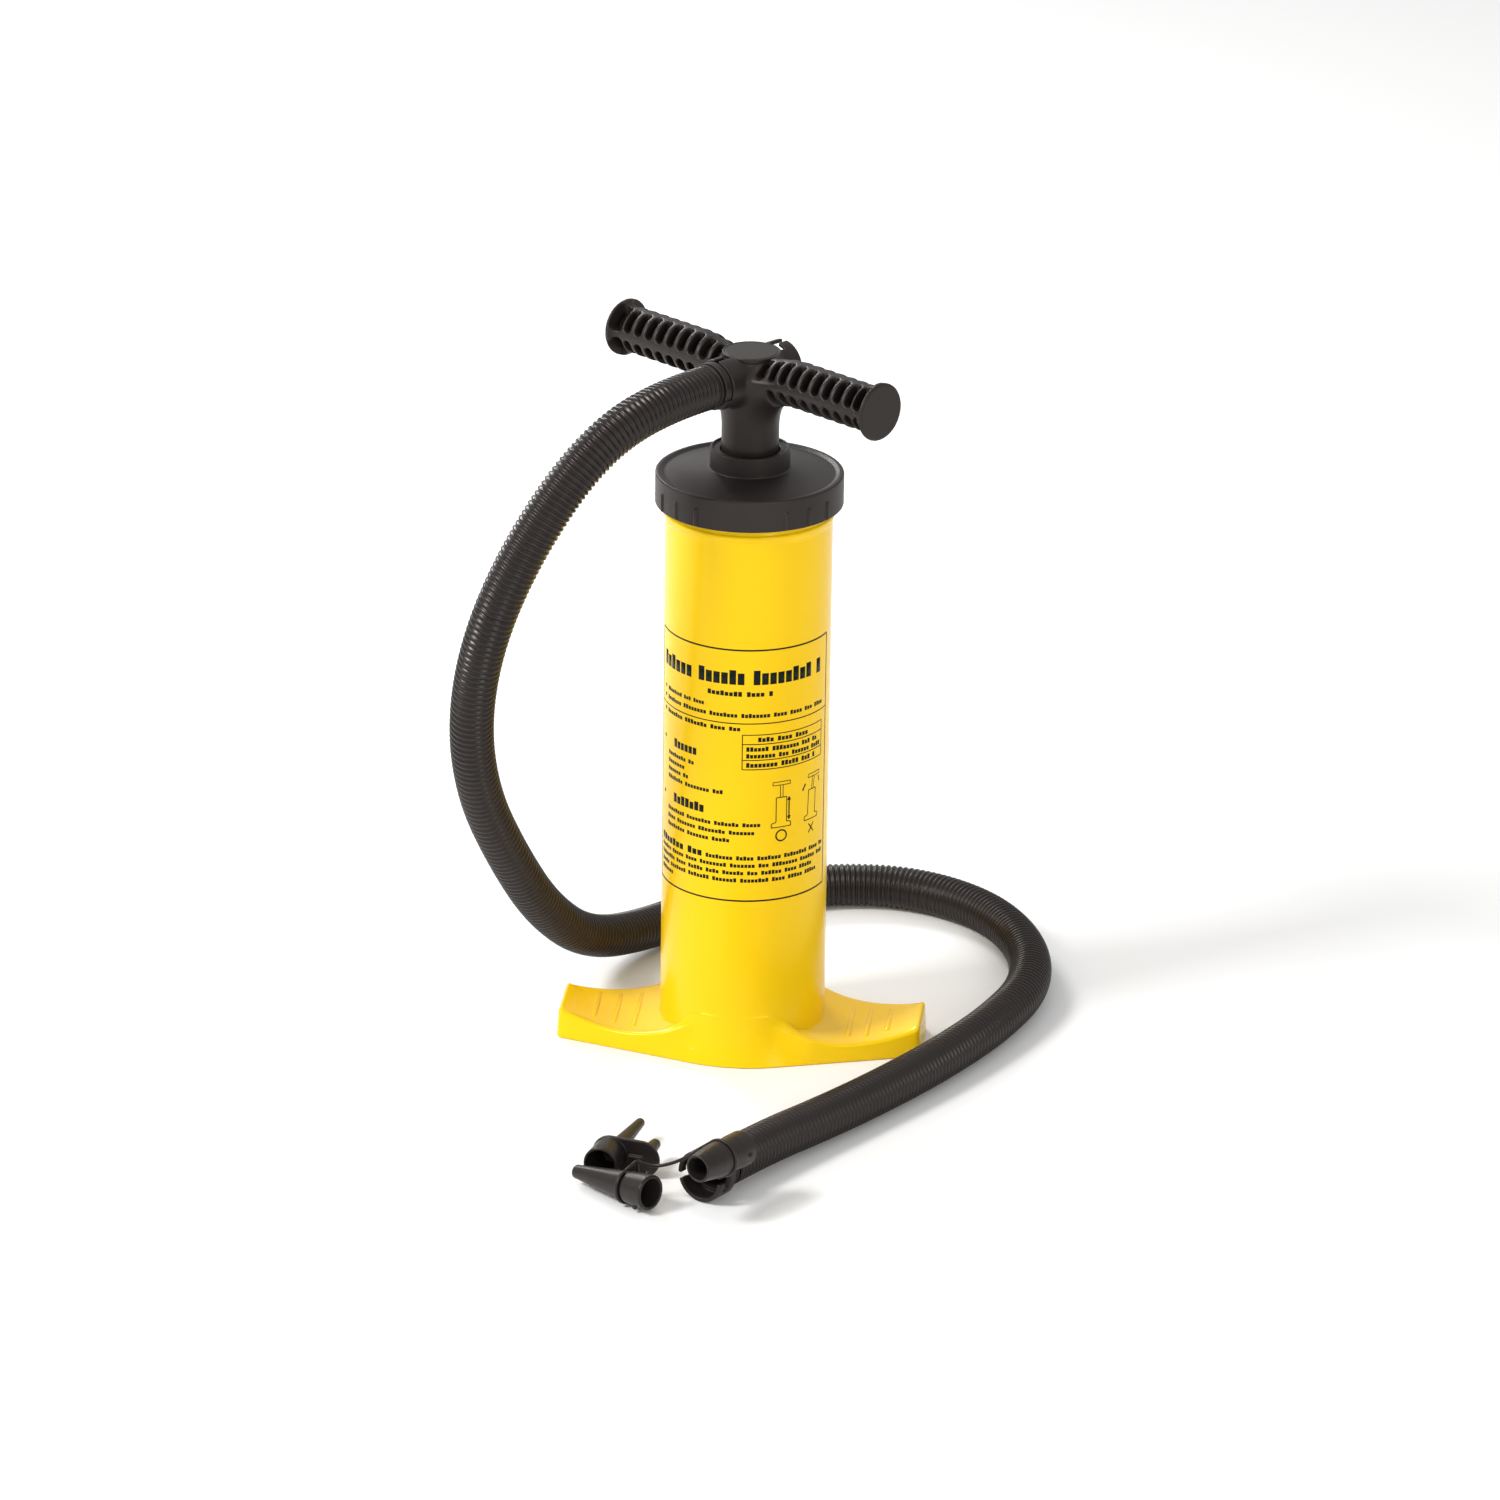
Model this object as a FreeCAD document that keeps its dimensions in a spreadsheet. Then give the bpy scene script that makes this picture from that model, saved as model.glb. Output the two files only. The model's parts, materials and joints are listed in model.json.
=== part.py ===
"""Double action hand pump: a barrel moulded with its foot, a screw cap, a turning and sliding
handle with two air ports, a corrugated hose and the nozzles that lie beside the hose's end.

Millimetres. The origin is on the floor under the barrel's axis, +Z is up and the foot runs along X.
The handle is stored at the bottom of its stroke.
"""
import FreeCAD, Part
import math
import os
import Sketcher

Vector = FreeCAD.Vector

DIMENSIONS = {
    # foot
    "foot_half_length": 116.8, "foot_tip_half_depth": 22.9, "foot_side_angle": 18.35,
    "foot_round_radius": 86.0, "foot_height": 20.0, "foot_trough_height": 13.5,
    "foot_trough_middle": 82.0, "foot_trough_half": 27.0,
    "foot_wall": 3.0, "foot_cell_depth": 10.0, "tread_rib_width": 3.0, "tread_rib_proud": 0.8,
    "tread_rib_length": 43.0, "tread_rib_first": 67.5, "tread_rib_pitch": 13.3,
    # barrel
    "barrel_radius": 52.5, "bore_radius": 50.0, "barrel_floor": 22.0, "under_barrel_depth": 16.0,
    "rim_height": 376.0, "lip_height": 354.5, "lip_band": 3.0, "lip_radius": 53.6,
    "thread_radius": 54.6, "thread_first": 364.0, "thread_pitch": 4.0, "thread_land": 1.6,
    # cap
    "cap_radius": 59.0, "cap_bore_radius": 55.0, "cap_bottom": 362.2, "cap_edge": 381.5,
    "cap_roof": 378.0, "cap_crown": 385.1, "collar_radius": 25.0, "collar_inner_radius": 22.5,
    "collar_top": 398.4, "cap_hole_radius": 20.0, "cap_rib_radius": 1.6, "cap_rib_top": 374.5,
    "cap_rib_spacing": 16.2, "cap_rib_inset": 0.9, "edge_round": 1.6,
    "gasket_inner_radius": 50.3,
    # rod guide
    "bush_top": 386.0, "bush_bottom": 376.0, "bush_inner_radius": 15.05, "seal_bottom": 373.0,
    "retainer_bottom": 370.0, "retainer_inner_radius": 16.0, "retainer_radius": 24.0,
    # rod and piston
    "rod_radius": 15.0, "rod_wall": 1.6, "rod_top": 416.0, "rod_bottom": 30.0,
    "inner_tube_radius": 8.0, "inner_tube_wall": 1.0, "inner_tube_top": 416.0, "inner_tube_bottom": 27.0,
    "piston_bottom": 24.0, "piston_joint": 46.0, "piston_top": 68.0, "piston_radius": 48.5,
    "groove_radius": 45.5, "groove_height": 7.0, "ring_height": 6.4, "ring_radius": 49.95,
    "ring_inner_radius": 46.0, "piston_pocket_radius": 41.0, "piston_hub_radius": 19.0,
    "piston_web": 4.0, "screw_circle_radius": 30.0, "screw_count": 4, "screw_radius": 2.0,
    "screw_head_radius": 3.8, "screw_head_height": 2.6, "screw_length": 20.0,
    "screw_boss_radius": 6.0,
    # handle
    "stem_radius": 18.0, "stem_bottom": 389.5, "stem_inner_radius": 15.6, "hub_top": 458.8,
    "hub_roof": 456.2, "bump_stop_bottom": 386.4, "grip_angle": -39.0, "grip_height": 449.4,
    "grip_radius": 14.75, "grip_half_length": 112.2, "grip_flange_radius": 18.3,
    "grip_flange_width": 3.7, "grip_core_radius": 8.2, "pocket_count": 10, "pocket_pitch": 9.45,
    "pocket_width": 6.2, "pocket_span": 14.0, "pocket_first": 17.65,
    "cover_radius": 18.3, "cover_gap": 0.2, "cover_thickness": 2.5, "cover_spigot_radius": 15.4,
    "cover_spigot_depth": 2.0,
    "port_angle": -129.0, "port_height": 446.0, "port_radius": 16.0, "port_inner_radius": 13.5,
    "port_reach": 31.0, "port_step": 18.6, "air_shaft_radius": 12.0, "slot_width": 4.4, "slot_length": 14.0,
    # valves
    "valve_plate_bottom": 420.0, "valve_plate_thickness": 3.0, "valve_circle_radius": 8.4,
    "valve_seat_radius": 2.7, "valve_radius": 4.0, "valve_thickness": 1.0, "valve_gap": 0.06,
    "divider_thickness": 1.6, "divider_start": 12.0, "valve_room_height": 16.8,
    # hose connection
    "connector_start": 19.0, "connector_flange": 32.0, "connector_end": 40.0,
    "connector_radius": 15.5, "connector_spigot_radius": 13.2, "connector_bore_radius": 10.5,
    "connector_groove_start": 24.0, "connector_groove_end": 27.0, "oring_inner_radius": 12.0,
    "connector_groove_radius": 12.0, "lug_length": 8.0, "lug_width": 4.0, "lug_proud": 1.5,
    # hose and what is at its end
    "hose_radius": 14.0, "hose_bore_radius": 12.9, "cuff_length": 24.0,
    "cuff_radius": 16.4, "cuff_inner_radius": 13.8, "cuff_spigot": 12.7, "cuff_web": 3.0,
    "nozzle_base_radius": 11.2, "nozzle_base_inner_radius": 9.4, "nozzle_lug_radius": 1.6,
    "nozzle_lug_reach": 13.6,
    "strap_radius": 1.1, "twin_socket_length": 17.0, "twin_plate_thickness": 2.5,
    "twin_plate_radius": 12.0, "twin_spread": 20.0, "tall_tip_length": 51.0,
    "short_tip_length": 25.0,
}

GRIP_SIDES = (1, -1)

# The hose's route, from the connector on the handle round behind the barrel to the cuff in front.
HOSE_ROUTE = [
    (-25.2, -31.1, 446.0), (-54.0, -66.7, 446.0), (-90.0, -97.0, 423.0), (-126.0, -111.0, 368.0),
    (-152.0, -109.0, 306.0), (-164.0, -93.0, 243.0), (-162.0, -65.0, 182.0), (-147.0, -31.0, 126.0),
    (-130.0, 12.0, 73.0), (-108.0, 64.0, 32.0), (-77.0, 121.0, 16.0), (-36.0, 179.0, 14.2),
    (20.0, 218.0, 14.2), (84.0, 226.0, 14.2), (141.0, 193.0, 14.2), (174.0, 133.0, 14.2),
    (181.0, 67.0, 14.2), (161.0, 2.0, 14.2), (131.0, -59.0, 14.2), (98.0, -113.0, 14.2),
    (66.0, -160.0, 14.6), (35.1, -204.2, 16.5), (13.24, -240.04, 16.5),
]

# The thin strap from the long nozzle's loop, past the cuff's mouth, to the wide nozzle's loop.
STRAP_ROUTE = [
    (-37.5, -262.0, 26.0), (-31.5, -262.2, 23.4), (-24.0, -262.8, 23.4), (-15.0, -265.4, 27.2),
    (-7.0, -269.6, 33.0), (-0.5, -274.2, 39.4), (3.2, -277.2, 43.6),
]

# Each nozzle lies with its open base at one point and its tip at the other.
WIDE_NOZZLE_BASE, WIDE_NOZZLE_TIP = (26.8, -258.5, 36.9), (3.5, -297.5, 36.3)
LONG_NOZZLE_BASE, LONG_NOZZLE_TIP = (-25.8, -280.4, 13.2), (-78.4, -242.4, 8.0)
TWIN_NOZZLE_BASE, TWIN_NOZZLE_TIP = (-62.3, -241.6, 12.3), (-44.7, -173.0, 12.3)
TWIN_NOZZLE_ROLL = -14.0

doc = FreeCAD.newDocument("DoubleActionHandPump")
sheet = doc.addObject("Spreadsheet::Sheet", "Dims")
for row, (alias, number) in enumerate(DIMENSIONS.items(), start=1):
    sheet.set(f"A{row}", alias)
    sheet.set(f"B{row}", str(number))
    sheet.setAlias(f"B{row}", alias)
doc.recompute()


def size(words):
    """The value of a sum of sheet aliases and plain numbers, such as 'rim_height - 2'."""
    total = 0.0
    sign = 1
    for word in str(words).split():
        if word in "+-":
            sign = 1 if word == "+" else -1
        else:
            total += sign * (getattr(sheet, word) if word[0].isalpha() else float(word))
    return total


def formula(words):
    """The same sum as an expression on the sheet."""
    return " ".join("Dims." + word if word[0].isalpha() else word for word in str(words).split())


def bind(item, **sizes):
    """Bind an object's properties to sums of sheet aliases."""
    for name, words in sizes.items():
        item.setExpression(name, formula(words))


def origin_plane(body, role):
    return next(feature for feature in body.Origin.OriginFeatures if feature.Role == role)


def outline(body, plane, points, tag="outline"):
    """A closed sketch of straight sides. Each point is a pair of sums of sheet aliases."""
    sketch = body.newObject("Sketcher::SketchObject", f"{body.Label}_{tag}")
    sketch.AttachmentSupport = (origin_plane(body, plane), "")
    sketch.MapMode = "FlatFace"
    corners = [Vector(size(across), size(up), 0) for across, up in points]
    for here, there in zip(corners, corners[1:] + corners[:1]):
        sketch.addGeometry(Part.LineSegment(here, there), False)
    count = len(points)
    for side in range(count):
        sketch.addConstraint(Sketcher.Constraint("Coincident", side, 2, (side + 1) % count, 1))
    for side, (across, up) in enumerate(points):
        for kind, axis, words in (("DistanceX", -2, across), ("DistanceY", -1, up)):
            if size(words) == 0:
                sketch.addConstraint(Sketcher.Constraint("PointOnObject", side, 1, axis))
            else:
                index = sketch.addConstraint(Sketcher.Constraint(kind, -1, 1, side, 1, size(words)))
                sketch.setExpression(f"Constraints[{index}]", formula(words))
    return sketch


def new_body(label):
    body = doc.addObject("PartDesign::Body", label)
    body.Label = label
    return body


def turn(body, points, tag="turn", groove=False):
    """Turn an outline of (radius, height) pairs about the body's own Z axis."""
    sketch = outline(body, "XZ_Plane", points, tag + "_outline")
    kind = "PartDesign::Groove" if groove else "PartDesign::Revolution"
    feature = body.newObject(kind, f"{body.Label}_{tag}")
    feature.Profile = sketch
    feature.ReferenceAxis = (sketch, ["V_Axis"])
    feature.Angle = 360
    body.Tip = feature
    return feature


def turned(label, points):
    body = new_body(label)
    turn(body, points)
    return body


def box_profile(inner, outer, bottom, top):
    return [(inner, bottom), (outer, bottom), (outer, top), (inner, top)]


def cylinder(label, radius, height, place=None):
    item = doc.addObject("Part::Cylinder", label)
    bind(item, Radius=radius, Height=height)
    if place:
        item.Placement = place
    return item


def cut(label, base, tool):
    item = doc.addObject("Part::Cut", label)
    item.Base = base
    item.Tool = tool
    item.Label = label
    return item


def fuse(label, shapes):
    item = doc.addObject("Part::MultiFuse", label)
    item.Shapes = shapes
    item.Label = label
    return item


def upright_turn(angle):
    return FreeCAD.Rotation(Vector(0, 0, 1), angle)


def along(angle, height, reach=0.0, roll=0.0):
    """A place whose own Z axis points level along the compass angle, at a height on the Z axis."""
    spin = upright_turn(angle)
    lay_down = FreeCAD.Rotation(Vector(0, 1, 0), 90)
    start = spin.multVec(Vector(reach, 0, 0)) + Vector(0, 0, height)
    return FreeCAD.Placement(start, spin * lay_down * upright_turn(roll))


# --- Foot and barrel -------------------------------------------------------------------------

def side_depth(x):
    """Half the foot's depth at a distance x from its middle, on the straight part of a side."""
    slope = math.tan(math.radians(sheet.foot_side_angle))
    return sheet.foot_tip_half_depth + (sheet.foot_half_length - x) * slope


def foot_plan(body):
    """Two tapered wings whose front and back run into a round bulge about the barrel."""
    sketch = body.newObject("Sketcher::SketchObject", "foot_plan")
    sketch.AttachmentSupport = (origin_plane(body, "XY_Plane"), "")
    sketch.MapMode = "FlatFace"
    length, tip = sheet.foot_half_length, sheet.foot_tip_half_depth
    corner = Vector(length, tip, 0)
    angle = math.radians(sheet.foot_side_angle)
    radius = sheet.foot_round_radius
    touch_x = radius * math.sin(angle)
    touch_y = side_depth(touch_x)
    crown_y = touch_y + radius * (1 - math.cos(angle))
    touch = Vector(touch_x, touch_y, 0)
    crown = Vector(0, crown_y, 0)

    def mirror(point, across, up):
        return Vector(point.x * across, point.y * up, 0)

    outline_edges = [
        Part.LineSegment(mirror(corner, 1, -1), mirror(corner, 1, 1)),
        Part.LineSegment(corner, touch),
        Part.Arc(touch, crown, mirror(touch, -1, 1)),
        Part.LineSegment(mirror(touch, -1, 1), mirror(corner, -1, 1)),
        Part.LineSegment(mirror(corner, -1, 1), mirror(corner, -1, -1)),
        Part.LineSegment(mirror(corner, -1, -1), mirror(touch, -1, -1)),
        Part.Arc(mirror(touch, -1, -1), mirror(crown, 1, -1), mirror(touch, 1, -1)),
        Part.LineSegment(mirror(touch, 1, -1), mirror(corner, 1, -1)),
    ]
    for edge in outline_edges:
        sketch.addGeometry(edge, False)
    for end, across, up in ((0, 1, -1), (4, -1, 1)):
        for kind, words, sign in (("DistanceX", "foot_half_length", across),
                                  ("DistanceY", "foot_tip_half_depth", up)):
            index = sketch.addConstraint(
                Sketcher.Constraint(kind, -1, 1, end, 1, sign * getattr(sheet, words)))
            sketch.setExpression(f"Constraints[{index}]", f"{sign} * Dims.{words}")
    return sketch


def pad(body, sketch, length, tag):
    feature = body.newObject("PartDesign::Pad", f"{body.Label}_{tag}")
    feature.Profile = sketch
    bind(feature, Length=length)
    body.Tip = feature
    return feature


def pocket(body, sketch, length, tag, both_ways=False, backwards=False):
    feature = body.newObject("PartDesign::Pocket", f"{body.Label}_{tag}")
    feature.Profile = sketch
    feature.Midplane = both_ways
    feature.Reversed = backwards
    bind(feature, Length=length)
    body.Tip = feature
    return feature


def trough_sketch(body, side):
    """A round scoop that leaves the wing thin in its middle and full height at tip and barrel."""
    drop = sheet.foot_height - sheet.foot_trough_height
    radius = (sheet.foot_trough_half ** 2 + drop ** 2) / (2 * drop)
    middle = side * sheet.foot_trough_middle
    sketch = body.newObject("Sketcher::SketchObject", f"trough_{'right' if side > 0 else 'left'}")
    sketch.AttachmentSupport = (origin_plane(body, "XZ_Plane"), "")
    sketch.MapMode = "FlatFace"
    centre = Vector(middle, sheet.foot_trough_height + radius, 0)
    sketch.addGeometry(Part.Circle(centre, Vector(0, 0, 1), radius), False)
    return sketch


def foot_cell(body, side, near, far, tag):
    """A hollow in the wing's underside, between two cross ribs, with sides that follow the wing."""
    wall = sheet.foot_wall
    depths = [side_depth(x) - wall for x in (near, far)]
    points = [(side * near, -depths[0]), (side * far, -depths[1]),
              (side * far, depths[1]), (side * near, depths[0])]
    return pocket(body, outline(body, "XY_Plane", points, tag), "foot_cell_depth",
                  tag + "_cell", backwards=True)


def make_barrel():
    body = new_body("barrel")
    pad(body, foot_plan(body), "foot_height", "foot")
    for side in (1, -1):
        name = "right" if side > 0 else "left"
        scoop = trough_sketch(body, side)
        pocket(body, scoop, "foot_half_length", f"{name}_trough", both_ways=True)
        cells = ((56.0, 73.0), (76.0, 93.0), (96.0, 113.5))
        for number, (near, far) in enumerate(cells, start=1):
            foot_cell(body, side, near, far, f"{name}_{number}")
    turn(body, box_profile("0", "barrel_radius", "barrel_floor - 6", "rim_height"), "tube")
    turn(body, box_profile("0", "bore_radius", "barrel_floor", "rim_height + 1"), "bore", groove=True)
    turn(body, box_profile("0", "bore_radius - foot_wall", "-1", "under_barrel_depth"),
         "under_hollow", groove=True)
    turn(body, box_profile("bore_radius + 1", "lip_radius", "lip_height", "lip_height + lip_band"),
         "lip")
    for number in range(3):
        start = f"thread_first + {number * sheet.thread_pitch}"
        turn(body, box_profile("bore_radius + 1", "thread_radius", start, start + " + thread_land"),
             f"thread_{number}")
    return body


def add_tread_ribs(barrel):
    """Three low ribs run front to back across each wing's scooped top."""
    ribs = []
    for side in (1, -1):
        for number in range(3):
            x = side * (sheet.tread_rib_first + number * sheet.tread_rib_pitch)
            drop = sheet.foot_height - sheet.foot_trough_height
            radius = (sheet.foot_trough_half ** 2 + drop ** 2) / (2 * drop)
            offset = abs(x) - sheet.foot_trough_middle
            surface = sheet.foot_trough_height + radius - math.sqrt(radius ** 2 - offset ** 2)
            rib = cylinder(f"tread_rib_{len(ribs)}", "tread_rib_width", "tread_rib_length")
            low = surface + sheet.tread_rib_proud - sheet.tread_rib_width
            rib.Placement = FreeCAD.Placement(
                Vector(x, sheet.tread_rib_length / 2, low), FreeCAD.Rotation(Vector(1, 0, 0), 90))
            ribs.append(rib)
    joined = fuse("barrel_with_treads", [barrel] + ribs)
    return joined


# --- Cap and rod guide -----------------------------------------------------------------------

def make_cap():
    shell = turned("cap_shell", [
        ("cap_bore_radius", "cap_bottom"), ("cap_radius", "cap_bottom"),
        ("cap_radius", "cap_edge - edge_round"), ("cap_radius - edge_round", "cap_edge"),
        ("collar_radius + 1.5", "cap_crown"), ("collar_radius", "cap_crown + 1.5"),
        ("collar_radius", "collar_top - 1"), ("collar_radius - 1", "collar_top"),
        ("collar_inner_radius + 0.5", "collar_top"), ("collar_inner_radius", "collar_top - 0.5"),
        ("collar_inner_radius", "cap_roof + 5"), ("cap_hole_radius", "cap_roof + 5"),
        ("cap_hole_radius", "cap_roof"), ("cap_bore_radius", "cap_roof"),
    ])
    ribs = [shell]
    for group in range(4):
        for place in (-1, 0, 1):
            angle = math.radians(45 + 90 * group + place * sheet.cap_rib_spacing)
            reach = sheet.cap_radius - sheet.cap_rib_inset
            rib = cylinder(f"cap_rib_{len(ribs)}", "cap_rib_radius", "cap_rib_top - cap_bottom")
            rib.Placement.Base = Vector(reach * math.cos(angle), reach * math.sin(angle),
                                        sheet.cap_bottom)
            ribs.append(rib)
    return fuse("screw_cap", ribs)


def make_guides():
    turned("cap_gasket", box_profile("gasket_inner_radius", "barrel_radius - 0.2", "rim_height",
                                     "cap_roof"))
    turned("rod_bush", [
        ("bush_inner_radius", "bush_bottom"), ("cap_hole_radius + 3", "bush_bottom"),
        ("cap_hole_radius + 3", "cap_roof"), ("cap_hole_radius", "cap_roof"),
        ("cap_hole_radius", "bush_top - 1"), ("bush_inner_radius", "bush_top - 1"),
    ])
    turned("rod_seal", [
        ("bush_inner_radius", "seal_bottom"), ("cap_hole_radius", "seal_bottom"),
        ("cap_hole_radius", "bush_bottom"), ("bush_inner_radius", "bush_bottom"),
    ])
    turned("seal_retainer", [
        ("retainer_inner_radius", "retainer_bottom"), ("retainer_radius", "retainer_bottom"),
        ("retainer_radius", "cap_roof"), ("cap_hole_radius + 3", "cap_roof"),
        ("cap_hole_radius + 3", "bush_bottom"), ("cap_hole_radius", "bush_bottom"),
        ("cap_hole_radius", "seal_bottom"), ("retainer_inner_radius", "seal_bottom"),
    ])


# --- Piston and rod --------------------------------------------------------------------------

def screw_places():
    step = 360.0 / sheet.screw_count
    radius = sheet.screw_circle_radius
    return [upright_turn(number * step + step / 2).multVec(Vector(radius, 0, 0))
            for number in range(int(sheet.screw_count))]


def make_piston():
    """Two cups face to face on the rod, each with a groove for one ring, held by four screws."""
    groove_low = "piston_bottom + 6"
    lower = turned("piston_lower_cup", [
        ("rod_radius", "piston_bottom"), ("piston_radius", "piston_bottom"),
        ("piston_radius", groove_low), ("groove_radius", groove_low),
        ("groove_radius", groove_low + " + groove_height"),
        ("piston_radius", groove_low + " + groove_height"), ("piston_radius", "piston_joint"),
        ("piston_pocket_radius", "piston_joint"),
        ("piston_pocket_radius", "piston_bottom + piston_web"),
        ("piston_hub_radius", "piston_bottom + piston_web"),
        ("piston_hub_radius", "piston_joint"), ("rod_radius", "piston_joint"),
    ])
    groove_high = "piston_top - 13"
    upper = turned("piston_upper_cup", [
        ("rod_radius", "piston_joint"), ("piston_hub_radius", "piston_joint"),
        ("piston_hub_radius", "piston_top - piston_web"),
        ("piston_pocket_radius", "piston_top - piston_web"),
        ("piston_pocket_radius", "piston_joint"), ("piston_radius", "piston_joint"),
        ("piston_radius", groove_high), ("groove_radius", groove_high),
        ("groove_radius", groove_high + " + groove_height"),
        ("piston_radius", groove_high + " + groove_height"), ("piston_radius", "piston_top"),
        ("rod_radius", "piston_top"),
    ])
    bosses = {"piston_lower": [lower], "piston_upper": [upper]}
    holes = {"piston_lower": [], "piston_upper": []}
    screws = []
    web = sheet.piston_web
    for number, place in enumerate(screw_places()):
        low_boss = cylinder(f"low_boss_{number}", "screw_boss_radius",
                            "piston_joint - piston_bottom - piston_web")
        low_boss.Placement.Base = place + Vector(0, 0, sheet.piston_bottom + web)
        high_boss = cylinder(f"high_boss_{number}", "screw_boss_radius",
                             "piston_top - piston_joint - piston_web")
        high_boss.Placement.Base = place + Vector(0, 0, sheet.piston_joint)
        bosses["piston_lower"].append(low_boss)
        bosses["piston_upper"].append(high_boss)
        through = cylinder(f"screw_hole_{number}", "screw_radius", "screw_length + 30")
        tip = sheet.piston_top - sheet.screw_head_height - sheet.screw_length - 8
        through.Placement.Base = place + Vector(0, 0, tip)
        sink = cylinder(f"screw_sink_{number}", "screw_head_radius", "screw_head_height + 9")
        sink.Placement.Base = place + Vector(0, 0, sheet.piston_top - sheet.screw_head_height - 8)
        holes["piston_upper"] += [through, sink]
        low_hole = cylinder(f"low_screw_hole_{number}", "screw_radius", "screw_length")
        low_hole.Placement.Base = place + Vector(0, 0, tip)
        holes["piston_lower"].append(low_hole)
        shank = cylinder(f"screw_shank_{number}", "screw_radius", "screw_length")
        shank.Placement.Base = place + Vector(0, 0, tip)
        head = cylinder(f"screw_head_{number}", "screw_head_radius", "screw_head_height")
        head.Placement.Base = place + Vector(0, 0, tip + sheet.screw_length)
        screws.append(fuse(f"piston_screw_{number}", [shank, head]))
    pieces = []
    for name in ("piston_lower", "piston_upper"):
        solid = fuse(name + "_blank", bosses[name])
        tool = fuse(name + "_holes", holes[name])
        pieces.append(cut(name, solid, tool))
    group = doc.addObject("Part::Compound", "piston_screws")
    group.Links = screws
    group.Label = "piston_screws"
    for label, low in (("piston_ring_lower", "piston_bottom + 6.3"),
                       ("piston_ring_upper", "piston_top - 12.7")):
        turned(label, box_profile("ring_inner_radius", "ring_radius", low, low + " + ring_height"))
    return pieces + [group]


def make_rod():
    turned("rod_tube", box_profile("rod_radius - rod_wall", "rod_radius", "rod_bottom", "rod_top"))
    turned("inner_tube", box_profile("inner_tube_radius - inner_tube_wall", "inner_tube_radius",
                                     "inner_tube_bottom", "inner_tube_top"))
    turned("bump_stop", box_profile("rod_radius", "stem_radius - 0.3", "bump_stop_bottom",
                                    "stem_bottom"))
    turned("rod_foot_plug", box_profile("inner_tube_radius", "rod_radius", "piston_bottom",
                                        "rod_bottom"))


# --- Handle ----------------------------------------------------------------------------------

def grip_pockets():
    """Four rows of slots round each grip, between spines on its top, bottom, front and back."""
    boxes = []
    for side in GRIP_SIDES:
        for number in range(int(sheet.pocket_count)):
            reach = sheet.pocket_first + number * sheet.pocket_pitch
            for row in range(4):
                slot = doc.addObject("Part::Box", f"pocket_{len(boxes)}")
                bind(slot, Length="grip_radius", Width="pocket_span - 3", Height="pocket_width")
                roll = FreeCAD.Rotation(Vector(0, 0, 1), 45 + 90 * row)
                offset = roll.multVec(Vector(sheet.grip_core_radius, 1.5 - sheet.pocket_span / 2, 0))
                grip = along(sheet.grip_angle, sheet.grip_height)
                start = side * reach - (sheet.pocket_width if side < 0 else 0.0)
                place = grip.multVec(offset + Vector(0, 0, start))
                slot.Placement = FreeCAD.Placement(place, grip.Rotation * roll)
                boxes.append(slot)
    return boxes


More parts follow.
